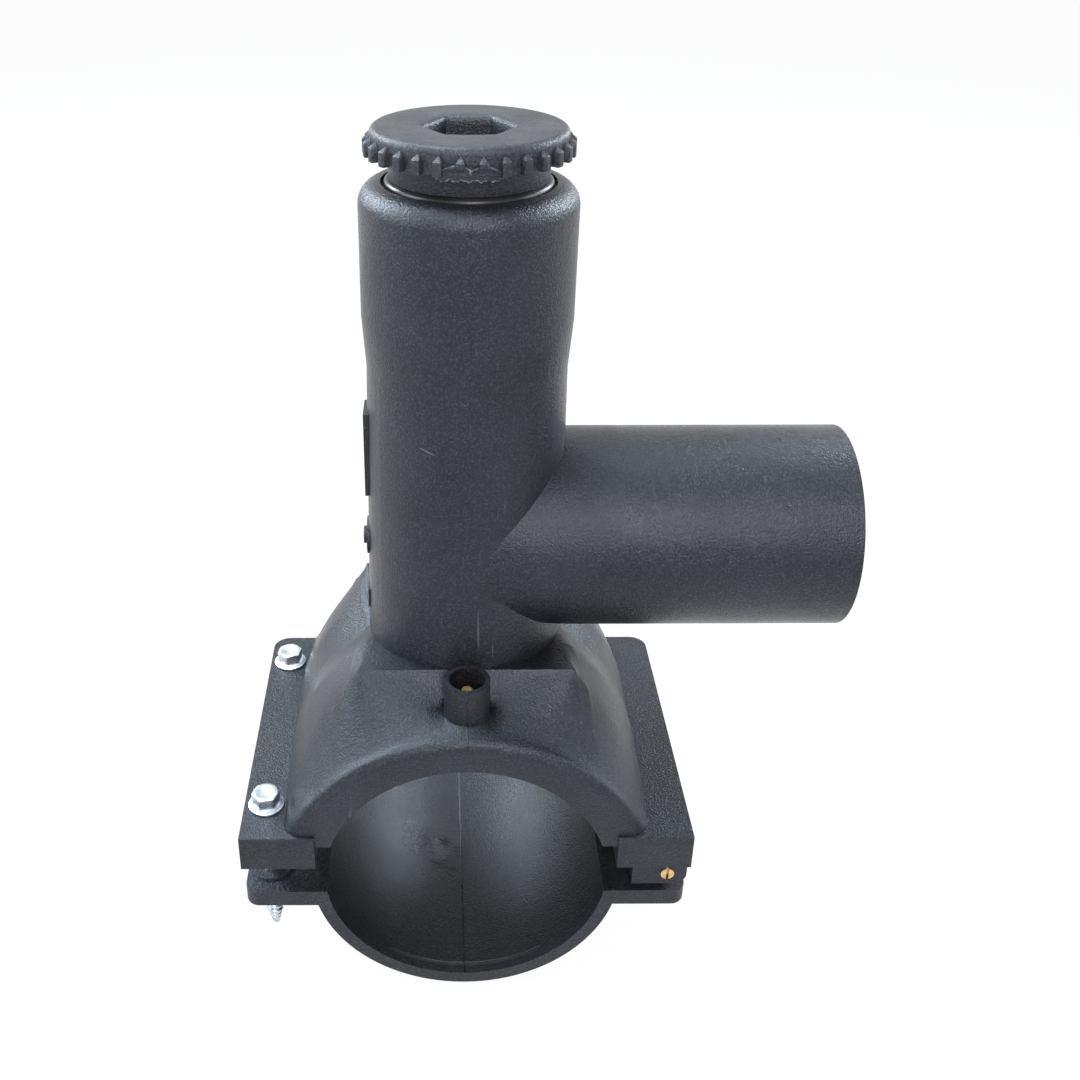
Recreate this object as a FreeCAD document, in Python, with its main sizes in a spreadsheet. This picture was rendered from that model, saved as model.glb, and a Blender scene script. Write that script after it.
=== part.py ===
import FreeCAD, Part
import math
import os
import re
import Sketcher
from FreeCAD import Placement, Rotation, Vector

# Tapping saddle for a 90 mm polyethylene main, with a 63 mm outlet.
# Millimetres. The main's axis is the Y axis, the tower stands along +Z, the outlet leaves along +X.

DIMENSIONS = [
    ("pipeRadius", 45.0, "outside radius of the main that is clamped"),
    ("seatGap", 0.2, "room between the main and its seat"),
    ("archInset", 0.8, "how far the arch ends inside the side flanges' ends"),
    ("archRadius", 62.0, "radius of the arch's back"),
    ("archDrop", 4.2, "that radius is struck from this far below the main's axis"),
    ("archRound", 5.6, "rounding of the arch's two end edges"),
    ("archFoot", 9.0, "height where the back ends inside the flange"),
    ("archEnd", 14.8, "underside of the arch above the main's axis"),
    ("shoulderTop", 67.2, "height of the flat shoulder at the tower's foot"),
    ("shoulderHalf", 31.0, "shoulder's front edge from the middle"),
    ("shoulderWide", 38.0, "shoulder's corner from the middle"),
    ("shoulderWaist", 31.4, "shoulder's width beside the tower"),
    ("shoulderWaistTop", 63.5, "shoulder's height beside the tower"),
    ("shoulderSide", 58.6, "shoulder's lower end from the middle"),
    ("shoulderSideTop", 12.0, "height of that lower end"),
    ("shoulderBelly", 50.3, "middle of the shoulder's side, from the middle"),
    ("shoulderBellyTop", 48.6, "height of that place"),
    ("shoulderHollow", 49.5, "the same beside the tower, from the middle"),
    ("shoulderHollowTop", 43.0, "height of that place"),
    ("shoulderFade", 47.0, "where the shoulder has run out into the arch"),
    ("shoulderFadeTop", 42.6, "height to which its front slopes down there"),
    ("hipOut", 1.6, "rounded hip's lower end outside the corner"),
    ("hipDown", 2.7, "rounded hip's lower end below the corner"),
    ("hipIn", 4.4, "rounded hip's upper end inside the corner"),
    ("flangeHalf", 53.5, "half length of the side flanges"),
    ("flangeInner", 47.6, "inner face of a side flange from the middle"),
    ("flangeOuter", 71.1, "outer face of a side flange from the middle"),
    ("flangeBottom", 6.5, "underside of a side flange"),
    ("flangeThickness", 12.6, "thickness of a side flange"),
    ("flangeCorner", 6.0, "rear corner radius of a side flange"),
    ("towerFoot", 31.2, "tower radius at its foot"),
    ("towerFootTop", 60.0, "height where the tower starts"),
    ("towerWaist", 29.75, "tower radius under its head"),
    ("towerHead", 30.9, "radius of the tower's head"),
    ("towerHeadLength", 38.8, "height of the tower's head"),
    ("towerHeadTaper", 15.0, "height over which the waist widens to the head"),
    ("towerTop", 210.8, "top of the tower"),
    ("towerShoulder", 6.0, "rounding of the tower's top edge"),
    ("towerBore", 20.7, "radius of the bore in the tower"),
    ("mouthRadius", 24.5, "radius of the seal's recess in the tower's mouth"),
    ("mouthDepth", 1.9, "depth of that recess"),
    ("outletHeight", 101.0, "outlet's axis above the main's axis"),
    ("outletRadius", 31.5, "outside radius of the outlet"),
    ("outletWall", 5.8, "wall of the outlet"),
    ("outletEnd", 116.5, "end of the outlet from the tower's axis"),
    ("outletRoot", 33.0, "length of the outlet's root, which widens to the full radius"),
    ("outletRootRadius", 30.4, "radius of the root at the tower's axis"),
    ("throatRadius", 17.0, "passage between tower and outlet"),
    ("throatEnd", 34.0, "where the passage opens into the outlet's bore"),
    ("throatTaper", 9.0, "length of that opening"),
    ("shroudPlace", 39.6, "terminal's distance from the middle along the main"),
    ("shroudRadius", 7.05, "outside radius of a terminal's collar"),
    ("shroudWall", 1.55, "wall of that collar"),
    ("shroudTop", 70.1, "top of that collar"),
    ("shroudDepth", 13.0, "depth inside the collar"),
    ("shroudFoot", 52.0, "where the collar starts inside the arch"),
    ("terminalRadius", 2.0, "radius of a terminal pin"),
    ("terminalFoot", 2.6, "radius of the pin's foot, which is moulded in"),
    ("terminalTaper", 0.6, "height over which the pin narrows above its foot"),
    ("terminalSink", 3.6, "how far the pin ends below its collar's rim"),
    ("terminalDome", 0.8, "rounding of the pin's end"),
    ("hingePlace", 64.8, "hinge pin's distance from the middle"),
    ("hingePin", 2.15, "radius of the hinge pin"),
    ("hingePinInset", 0.3, "how far the hinge pin ends inside the clamp's ends"),
    ("hingeSlotWidth", 0.8, "slot in the hinge pin's ends"),
    ("hingeSlotDepth", 1.4, "depth of that slot"),
    ("knuckleInner", 11.2, "hinge block's reach inwards from the pin"),
    ("knuckleOuter", 6.3, "hinge block's reach outwards from the pin"),
    ("knuckleDrop", 4.7, "hinge block's reach below the pin"),
    ("knuckleCorner", 4.0, "lower outer corner of a hinge block"),
    ("knuckleRound", 5.4, "radius of the clamp's knuckles"),
    ("knuckleInset", 0.9, "how far the hinge blocks end inside the clamp's ends"),
    ("knuckleEndLength", 10.6, "length of an outer hinge block"),
    ("knuckleMiddle", 8.0, "half length of the middle hinge block"),
    ("knuckleGap", 0.4, "end room between knuckles"),
    ("runningGap", 0.05, "radial room of a running fit"),
    ("clampInset", 3.2, "how far the lower clamp ends inside the side flanges' ends"),
    ("clampWall", 4.4, "wall of the lower clamp"),
    ("clampTop", 7.0, "depth of the clamp's flange below the axis"),
    ("clampThickness", 6.0, "thickness of the clamp's flange"),
    ("clampInner", 46.2, "where the flange starts inside the shell"),
    ("clampOuter", 71.4, "outer edge of the clamp's flange"),
    ("clampCorner", 4.5, "corner radius of the clamp's flange"),
    ("clampPad", 7.2, "radius of the raised pad round a screw"),
    ("clampPadHeight", 0.6, "height of that pad"),
    ("clampSlot", 2.6, "how far outwards the clamp's screw holes are drawn out, for its swing"),
    ("screwEdge", 7.1, "screw's distance from the side flange's outer face"),
    ("screwInset", 15.4, "screw's distance from the side flange's end"),
    ("screwRadius", 2.75, "screw's outside radius"),
    ("screwHoleGap", 0.35, "room round the screw in the saddle's flange"),
    ("screwLength", 53.0, "screw's length under its head"),
    ("screwTip", 7.0, "length of the screw's point"),
    ("screwTipRadius", 1.0, "radius at the end of that point"),
    ("screwHead", 5.4, "height of the head with its collar"),
    ("screwAcross", 8.0, "hexagon across flats"),
    ("screwCollar", 5.8, "radius of the head's collar"),
    ("screwCollarHeight", 1.4, "height of the head's collar"),
    ("screwCrown", 1.0, "width of the bevel round the head's top"),
    ("screwCrownHeight", 0.6, "height of that bevel"),
    ("capRadius", 27.3, "radius of the cap's disc"),
    ("capRise", 15.1, "top of the cap above the tower's top"),
    ("capDisc", 7.3, "thickness of the cap's disc"),
    ("capEdge", 1.9, "rounding of the cap's upper edge"),
    ("capNeck", 22.4, "radius of the cap's neck"),
    ("capNeckRoom", 1.1, "lower end of the neck above the tower's top"),
    ("capGroove", 20.55, "cap's radius inside its seal"),
    ("capPlugLength", 20.0, "how far the plug enters the tower"),
    ("capPlugWall", 4.0, "wall of the hollow plug"),
    ("capSocketAcross", 21.6, "cap's hexagon socket across flats"),
    ("capSocketDepth", 13.0, "depth of that socket"),
    ("capFloor", 4.0, "wall under that socket"),
    ("capTeeth", 30, "number of grip teeth round the cap"),
    ("toothWidth", 2.5, "width of a grip tooth"),
    ("toothBody", 3.8, "height of a grip tooth below its point"),
    ("toothPoint", 1.5, "height of the tooth's point"),
    ("toothOut", 1.9, "how far a tooth stands out"),
    ("toothRoot", 0.8, "how far a tooth starts inside the disc"),
    ("sealWire", 1.45, "section radius of the cap's seal"),
    ("sealRadius", 22.15, "radius of the cap's seal"),
    ("sealGap", 0.05, "room under the seal"),
    ("sleeveBottom", 60.0, "lower end of the guide sleeve"),
    ("sleeveSink", 23.8, "upper end of the guide sleeve below the tower's top"),
    ("sleeveWall", 1.7, "wall of the guide sleeve"),
    ("cutterSink", 3.0, "top of the parked cutter below the sleeve's end"),
    ("cutterLength", 62.0, "length of the cutter"),
    ("cutterWall", 2.6, "wall of the cutter's tube"),
    ("cutterHead", 24.0, "length of the cutter's solid head"),
    ("cutterSocketAcross", 17.0, "cutter's hexagon socket across flats"),
    ("cutterSocketDepth", 14.0, "depth of that socket"),
    ("cutterToothDepth", 3.6, "depth of the cutting teeth"),
    ("cutterToothGap", 4.4, "width of the gap between two cutting teeth"),
    ("cutterTeeth", 12, "number of cutting teeth"),
    ("cutterSealPlace", 19.0, "cutter's seal below the cutter's top"),
    ("cutterSealWire", 1.0, "section radius of that seal"),
    ("cutterSealRoom", 0.05, "room round that seal in its groove"),
    ("coilPitch", 3.4, "distance between the heating coil's turns"),
    ("coilTurns", 4, "turns from the innermost to the terminal"),
    ("coilWire", 1.1, "thickness of the heating wire"),
    ("leadRadius", 0.45, "radius of the coil's leads"),
    ("coilSink", 0.1, "how deep the wire lies under the seat"),
    ("leadHeight", 50.2, "height where the leads meet the terminal pins"),
    ("plateFace", 31.05, "face of the plain plates from the tower's axis"),
    ("plateInner", 25.0, "where the plates start inside the tower"),
    ("plateTall", 114.5, "lower edge of the tall plate"),
    ("plateTallHeight", 27.5, "height of the tall plate"),
    ("plateTallWidth", 11.0, "width of the tall and the low plate"),
    ("plateRound", 97.5, "height of the round plate's centre"),
    ("plateRoundRadius", 6.0, "radius of the round plate"),
    ("plateStud", 2.8, "radius of the stud on the round plate"),
    ("plateStudOut", 1.1, "how far that stud stands out"),
    ("plateLow", 73.5, "lower edge of the low plate"),
    ("plateLowHeight", 6.5, "height of the low plate"),
    ("beyond", 30.0, "how far a cutting shape reaches past the surface"),
    ("bite", 1.0, "how far a joined or cutting shape reaches past the face where it begins"),
]

# What follows from the driving sizes
DERIVED = {
    "seatRadius": "(pipeRadius + seatGap)",
    "flangeTop": "(flangeBottom + flangeThickness)",
    "archHalf": "(flangeHalf - archInset)",
    "clampHalf": "(flangeHalf - clampInset)",
    "knuckleEnd": "(clampHalf - knuckleInset)",
    "hingePinHalf": "(clampHalf - hingePinInset)",
    "screwPlaceX": "(flangeOuter - screwEdge)",
    "screwPlaceY": "(flangeHalf - screwInset)",
    "towerHeadTop": "(towerTop - towerHeadLength)",
    "towerWaistTop": "(towerHeadTop - towerHeadTaper)",
    "capTop": "(towerTop + capRise)",
    "capNeckBottom": "(towerTop + capNeckRoom)",
    "sleeveTop": "(towerTop - sleeveSink)",
    "cutterTop": "(sleeveTop - cutterSink)",
    "mouthFloor": "(towerTop - mouthDepth)",
    "outletBore": "(outletRadius - outletWall)",
    "clampRadius": "(seatRadius + clampWall)",
    "clampBottom": "(clampTop + clampThickness)",
    "hingeBore": "(hingePin + runningGap)",
    "sleeveBore": "(towerBore - sleeveWall)",
    "cutterRadius": "(sleeveBore - runningGap)",
    "cutterBottom": "(cutterTop - cutterLength)",
    "tapHole": "(sleeveBore + runningGap)",
    "capUnder": "(capTop - capDisc)",
    "capPlug": "(towerBore - runningGap)",
    "capPlugBottom": "(towerTop - capPlugLength)",
    "sealHeight": "(mouthFloor + sealGap + sealWire)",
    "cutterSealRadius": "(sleeveBore - runningGap - cutterSealWire)",
    "cutterSealHeight": "(cutterTop - cutterSealPlace)",
    "shroudFloor": "(shroudTop - shroudDepth)",
    "shroudBore": "(shroudRadius - shroudWall)",
    "terminalTop": "(shroudTop - terminalSink)",
    "coilFirst": "(shroudPlace - coilTurns * coilPitch)",
    "coilInner": "(seatRadius + coilSink)",
    "coilOuter": "(seatRadius + coilSink + coilWire)",
    "leadAxis": "(leadHeight - leadRadius * 1.4)",
}

ALONG = {
    "X": Rotation(Vector(0, 1, 0), 90),
    "Y": Rotation(Vector(1, 0, 0), -90),
    "Z": Rotation(),
}

doc = FreeCAD.newDocument("tapping_saddle")
sheet = doc.addObject("Spreadsheet::Sheet", "Sizes")
for row, (alias, number, note) in enumerate(DIMENSIONS, 1):
    sheet.set("A%d" % row, alias)
    sheet.set("B%d" % row, str(number))
    sheet.set("C%d" % row, note)
    sheet.setAlias("B%d" % row, alias)
doc.recompute()
NUMBERS = {alias: float(sheet.get(alias)) for alias, number, note in DIMENSIONS}
NODES = []


def spelled(text):
    """Replace derived names by the driving sizes that they stand for."""
    while True:
        longer = re.sub(r"[a-z]\w*", lambda word: DERIVED.get(word.group(0), word.group(0)), text)
        if longer == text:
            return text
        text = longer


def bound(word):
    return "Sizes." + word if word in NUMBERS else word


def known(word):
    return repr(NUMBERS[word]) if word in NUMBERS else word


def formula(text):
    """A sheet expression for a document object's property."""
    return re.sub(r"[a-z]\w*", lambda word: bound(word.group(0)), spelled(text))


def size(text):
    """The number that a formula has now, read from the sheet."""
    filled = re.sub(r"[a-z]\w*", lambda word: known(word.group(0)), spelled(text))
    return float(FreeCAD.Units.Quantity(filled).Value)


def place(item, corner, along="Z"):
    item.Placement = Placement(Vector(), ALONG[along])
    for axis, text in zip("xyz", corner):
        item.setExpression("Placement.Base." + axis, formula(text))
    return item


def cylinder(name, radius, height, corner, along="Z"):
    item = doc.addObject("Part::Cylinder", name)
    item.setExpression("Radius", formula(radius))
    item.setExpression("Height", formula(height))
    return place(item, corner, along)


def cone(name, lower, upper, height, corner, along="Z"):
    item = doc.addObject("Part::Cone", name)
    item.setExpression("Radius1", formula(lower))
    item.setExpression("Radius2", formula(upper))
    item.setExpression("Height", formula(height))
    return place(item, corner, along)


def box(name, lengths, corner):
    item = doc.addObject("Part::Box", name)
    for side, text in zip(("Length", "Width", "Height"), lengths):
        item.setExpression(side, formula(text))
    return place(item, corner)


def torus(name, radius, wire, corner):
    item = doc.addObject("Part::Torus", name)
    item.setExpression("Radius1", formula(radius))
    item.setExpression("Radius2", formula(wire))
    return place(item, corner)


def hexagon(name, across, height, corner):
    item = doc.addObject("Part::Prism", name)
    item.Polygon = 6
    item.setExpression("Circumradius", formula("(%s) / sqrt(3)" % across))
    item.setExpression("Height", formula(height))
    return place(item, corner)


def fuse(name, pieces):
    item = doc.addObject("Part::MultiFuse", name)
    item.Shapes = pieces
    item.Refine = True
    return item


def cut(name, base, tools):
    item = doc.addObject("Part::Cut", name)
    item.Base = base
    item.Tool = tools[0] if len(tools) == 1 else fuse(name + "_tools", tools)
    item.Refine = True
    return item


def common(name, first, second):
    item = doc.addObject("Part::Common", name)
    item.Base = first
    item.Tool = second
    return item


def newBody(name):
    return doc.addObject("PartDesign::Body", name)


def originItem(body, role):
    return [item for item in body.Origin.OriginFeatures if item.Role == role][0]


def sketchOn(body, name, role, offset="0"):
    sketch = body.newObject("Sketcher::SketchObject", name)
    sketch.AttachmentSupport = [(originItem(body, role), "")]
    sketch.MapMode = "FlatFace"
    sketch.setExpression(".AttachmentOffset.Base.z", formula(offset))
    return sketch


def drive(sketch, kind, arguments, text):
    """A constraint whose number comes from the sheet."""
    index = sketch.addConstraint(Sketcher.Constraint(kind, *arguments, size(text)))
    sketch.setExpression("Constraints[%d]" % index, formula(text))


def hold(sketch, piece, end, point):
    """Hold a point of a sketch at two formulas."""
    drive(sketch, "DistanceX", (-1, 1, piece, end), point[0])
    drive(sketch, "DistanceY", (-1, 1, piece, end), point[1])


def outline(sketch, corners):
    """A closed outline of straight lines through corners given by formulas."""
    spots = [Vector(size(across), size(up), 0) for across, up in corners]
    for number, start in enumerate(spots):
        sketch.addGeometry(Part.LineSegment(start, spots[(number + 1) % len(spots)]), False)
    for number, corner in enumerate(corners):
        after = (number + 1) % len(spots)
        sketch.addConstraint(Sketcher.Constraint("Coincident", number, 2, after, 1))
        hold(sketch, number, 1, corner)


def pad(body, name, sketch, length, backwards=False):
    item = body.newObject("PartDesign::Pad", name)
    item.Profile = sketch
    item.Reversed = backwards
    item.setExpression("Length", formula(length))
    doc.recompute()
    return item


def pocket(body, name, sketch, depth):
    """Cut against the sketch's normal, and make sure that material went away."""
    before = body.Shape.Volume
    item = body.newObject("PartDesign::Pocket", name)
    item.Profile = sketch
    item.setExpression("Length", formula(depth))
    doc.recompute()
    if body.Shape.Volume > before - 0.1:
        raise ValueError("nothing was cut by " + name)
    return item


def aroundZ(body, name, feature, count):
    item = body.newObject("PartDesign::PolarPattern", name)
    item.Originals = [feature]
    item.Axis = (originItem(body, "Z_Axis"), [""])
    item.Angle = 360
    item.setExpression("Occurrences", formula(count))
    body.Tip = item
    doc.recompute()
    return item


def slab(name, role, corners, start, length, backwards=False):
    body = newBody(name)
    sketch = sketchOn(body, name + "_profile", role, start)
    outline(sketch, corners)
    pad(body, name + "_pad", sketch, length, backwards)
    return body


def lathe(name, corners):
    """A body turned about Z from an outline of radius and height."""
    body = newBody(name)
    sketch = sketchOn(body, name + "_profile", "XZ_Plane")
    outline(sketch, corners)
    turn = body.newObject("PartDesign::Revolution", name + "_turned")
    turn.Profile = sketch
    turn.ReferenceAxis = (sketch, ["V_Axis"])
    turn.Angle = 360
    doc.recompute()
    return body


def soften(body, name, radius, wanted):
    """Round the edges whose middle point is wanted."""
    base = body.Tip
    found = ["Edge%d" % number for number, edge in enumerate(base.Shape.Edges, 1) if wanted(edge)]
    if not found:
        raise ValueError("no edge to round for " + name)
    item = body.newObject("PartDesign::Fillet", name)
    item.Base = (base, found)
    item.setExpression("Radius", formula(radius))
    doc.recompute()
    return item


def middle(edge):
    return edge.valueAt((edge.FirstParameter + edge.LastParameter) / 2)


def ring(edge, height, radius):
    """Whether an edge is a circle about Z of this height and radius."""
    if edge.BoundBox.ZLength > 0.01 or not hasattr(edge.Curve, "Radius"):
        return False
    return abs(edge.BoundBox.ZMin - height) < 0.01 and abs(edge.Curve.Radius - radius) < 0.01


def upright(edge):
    return edge.BoundBox.XLength < 0.01 and edge.BoundBox.YLength < 0.01


def named(item, label):
    item.Label = label
    NODES.append(item)
    return item


def archBack():
    """The arch's solid back: a D-shaped bar along the main with rounded end edges."""
    body = newBody("arch")
    sketch = sketchOn(body, "arch_profile", "XZ_Plane", "archHalf")
    radius = size("archRadius")
    foot = size("archFoot")
    start = math.asin(size("archDrop + archFoot") / radius)
    circle = Part.Circle(Vector(0, -size("archDrop"), 0), Vector(0, 0, 1), radius)
    sketch.addGeometry(Part.ArcOfCircle(circle, start, math.pi - start), False)
    reach = radius * math.cos(start)
    sketch.addGeometry(Part.LineSegment(Vector(-reach, foot, 0), Vector(reach, foot, 0)), False)
    sketch.addConstraint(Sketcher.Constraint("Coincident", 0, 2, 1, 1))
    sketch.addConstraint(Sketcher.Constraint("Coincident", 1, 2, 0, 1))
    sketch.addConstraint(Sketcher.Constraint("PointOnObject", 0, 3, -2))
    sketch.addConstraint(Sketcher.Constraint("Horizontal", 1))
    drive(sketch, "Radius", (0,), "archRadius")
    drive(sketch, "DistanceY", (-1, 1, 0, 3), "-archDrop")
    drive(sketch, "DistanceY", (-1, 1, 1, 1), "archFoot")
    pad(body, "arch_pad", sketch, "2 * archHalf", True)
    half = size("archHalf")
    soften(body, "arch_rounding", "archRound",
           lambda edge: abs(abs(middle(edge).y) - half) < 0.01 and middle(edge).z > foot + 0.1)
    return body


def station(body, name, offset, corner, belly):
    """One section of the shoulder: foot line, bowed sides, rounded hips and a level top."""
    sketch = sketchOn(body, name, "XZ_Plane", offset)
    foot = ("shoulderSide", "shoulderSideTop")
    low = (corner[0] + " + hipOut", corner[1] + " - hipDown")
    bend = (corner[0] + " - hipIn / 4", corner[1] + " - hipDown / 4")
    high = (corner[0] + " - hipIn", corner[1])

    def mirrored(point):
        return ("-(%s)" % point[0], point[1])

    def spot(point):
        return Vector(size(point[0]), size(point[1]), 0)

    lines = [(foot, mirrored(foot)), (high, mirrored(high))]
    for start, end in lines:
        number = sketch.addGeometry(Part.LineSegment(spot(start), spot(end)), False)
        hold(sketch, number, 1, start)
        hold(sketch, number, 2, end)
    bows = [(foot, belly, low), (low, bend, high)]
    bows += [tuple(mirrored(point) for point in reversed(bow)) for bow in bows]
    for start, through, end in bows:
        number = sketch.addGeometry(Part.Arc(spot(start), spot(through), spot(end)), False)
        first = 1 if sketch.Geometry[number].StartPoint.distanceToPoint(spot(start)) < 0.001 else 2
        hold(sketch, number, first, start)
        hold(sketch, number, 3 - first, end)
        mark = sketch.addGeometry(Part.Point(spot(through)), True)
        hold(sketch, mark, 1, through)
        sketch.addConstraint(Sketcher.Constraint("PointOnObject", mark, 1, number))
    return sketch


def shoulder():
    """The block under the tower: a flat top with four corners that runs out into the arch."""
    body = newBody("shoulder")
    wide = ("shoulderWide", "shoulderTop")
    belly = ("shoulderBelly", "shoulderBellyTop")
    inside = "(archRadius - 2)"
    fade = ("shoulderWide", "shoulderFadeTop")
    fadeBelly = ("shoulderBelly",
                 "(sqrt(%s * %s - shoulderBelly * shoulderBelly) - archDrop)" % (inside, inside))
    waist = ("shoulderWaist", "shoulderWaistTop")
    hollow = ("shoulderHollow", "shoulderHollowTop")
    sections = [
        station(body, "shoulder_front_end", "shoulderFade", fade, fadeBelly),
        station(body, "shoulder_front", "shoulderHalf", wide, belly),
        station(body, "shoulder_middle", "0", waist, hollow),
        station(body, "shoulder_rear", "-shoulderHalf", wide, belly),
        station(body, "shoulder_rear_end", "-shoulderFade", fade, fadeBelly),
    ]
    doc.recompute()
    loft = body.newObject("PartDesign::AdditiveLoft", "shoulder_loft")
    loft.Profile = sections[0]
    loft.Sections = sections[1:]
    loft.Ruled = True
    doc.recompute()
    return body


def flange(name, side):
    """A side flange with its rear outer corner rounded."""
    inner = side + "flangeInner"
    outer = side + "flangeOuter"
    body = slab(name, "XY_Plane", [(inner, "-flangeHalf"), (outer, "-flangeHalf"), (outer, "flangeHalf"),
                                   (inner, "flangeHalf")], "flangeBottom", "flangeThickness")
    corner = Vector(size(outer), size("flangeHalf"), 0)
    soften(body, name + "_corner", "flangeCorner", lambda edge: upright(edge) and math.hypot(
        middle(edge).x - corner.x, middle(edge).y - corner.y) < 0.01)
    return body


def hingeBlock(name, start, length):
    """A saddle-side hinge block, from one place along the main towards the rear."""
    left = "hingePlace - knuckleInner"
    right = "hingePlace + knuckleOuter"
    body = slab(name, "XZ_Plane", [(left, "-knuckleDrop"), (right, "-knuckleDrop"),
                                   (right, "flangeBottom + bite"), (left, "flangeBottom + bite")],
                start, length, True)
    edgeX = size(right)
    edgeZ = -size("knuckleDrop")
    soften(body, name + "_corner", "knuckleCorner",
           lambda edge: abs(middle(edge).x - edgeX) < 0.01 and abs(middle(edge).z - edgeZ) < 0.01)
    return body


def coilBand():
    """A tall spiral wall that follows the heating coil; its two crossings with the seat give the coil."""
    body = newBody("coil_band")
    section = sketchOn(body, "coil_section", "YZ_Plane")
    inner = "coilFirst - coilWire / 2"
    outer = "coilFirst + coilWire / 2"
    outline(section, [(inner, "archEnd"), (outer, "archEnd"), (outer, "leadHeight"), (inner, "leadHeight")])
    path = sketchOn(body, "coil_path", "XY_Plane", "archEnd")
    first = size("coilFirst")
    pitch = size("coilPitch")
    for number in range(2 * int(size("coilTurns")) + 1):
        radius = first + number * pitch / 2
        centre = Vector(0, pitch / 2 if number % 2 else 0, 0)
        start = -math.pi / 2 if number % 2 else math.pi / 2
        turn = Part.ArcOfCircle(Part.Circle(centre, Vector(0, 0, 1), radius), start, start + math.pi)
        path.addGeometry(turn, False)
        hold(path, number, 3, ("0", "coilPitch / 2" if number % 2 else "0"))
        drive(path, "Radius", (number,), "coilFirst + %d * coilPitch / 2" % number)
        path.addConstraint(Sketcher.Constraint("PointOnObject", number, 1, -2))
        path.addConstraint(Sketcher.Constraint("PointOnObject", number, 2, -2))
    doc.recompute()
    sweep = body.newObject("PartDesign::AdditivePipe", "coil_swept")
    sweep.Profile = section
    sweep.Spine = path
    sweep.Mode = "Standard"
    doc.recompute()
    return body


def coil(name, seat):
    """The coil's wire with both leads; the groove for it is the same shape, open to the seat."""
    reach = "2 * flangeHalf"
    start = ("0", "-flangeHalf", "0")
    shell = cut(name + "_shell", cylinder(name + "_shell_outer", "coilOuter", reach, start, "Y"),
                [cylinder(name + "_shell_inner", seat, reach, start, "Y")])
    spiral = common(name + "_spiral", coilWall, shell)
    low = "coilInner + coilWire / 2"
    front = cylinder(name + "_lead_front", "leadRadius", "leadHeight - coilInner - coilWire / 2",
                     ("0", "-shroudPlace", low))
    inner = cylinder(name + "_lead_inner", "leadRadius", "leadAxis - coilInner - coilWire / 2",
                     ("0", "coilFirst", low))
    across = cylinder(name + "_lead_across", "leadRadius * 1.1", "shroudPlace - coilFirst",
                      ("0", "coilFirst", "leadAxis"), "Y")
    rear = cylinder(name + "_lead_rear", "leadRadius * 1.3", "leadRadius * 2.6",
                    ("0", "shroudPlace", "leadHeight - leadRadius * 2.6"))
    return fuse(name, [spiral, front, inner, across, rear])


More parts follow.
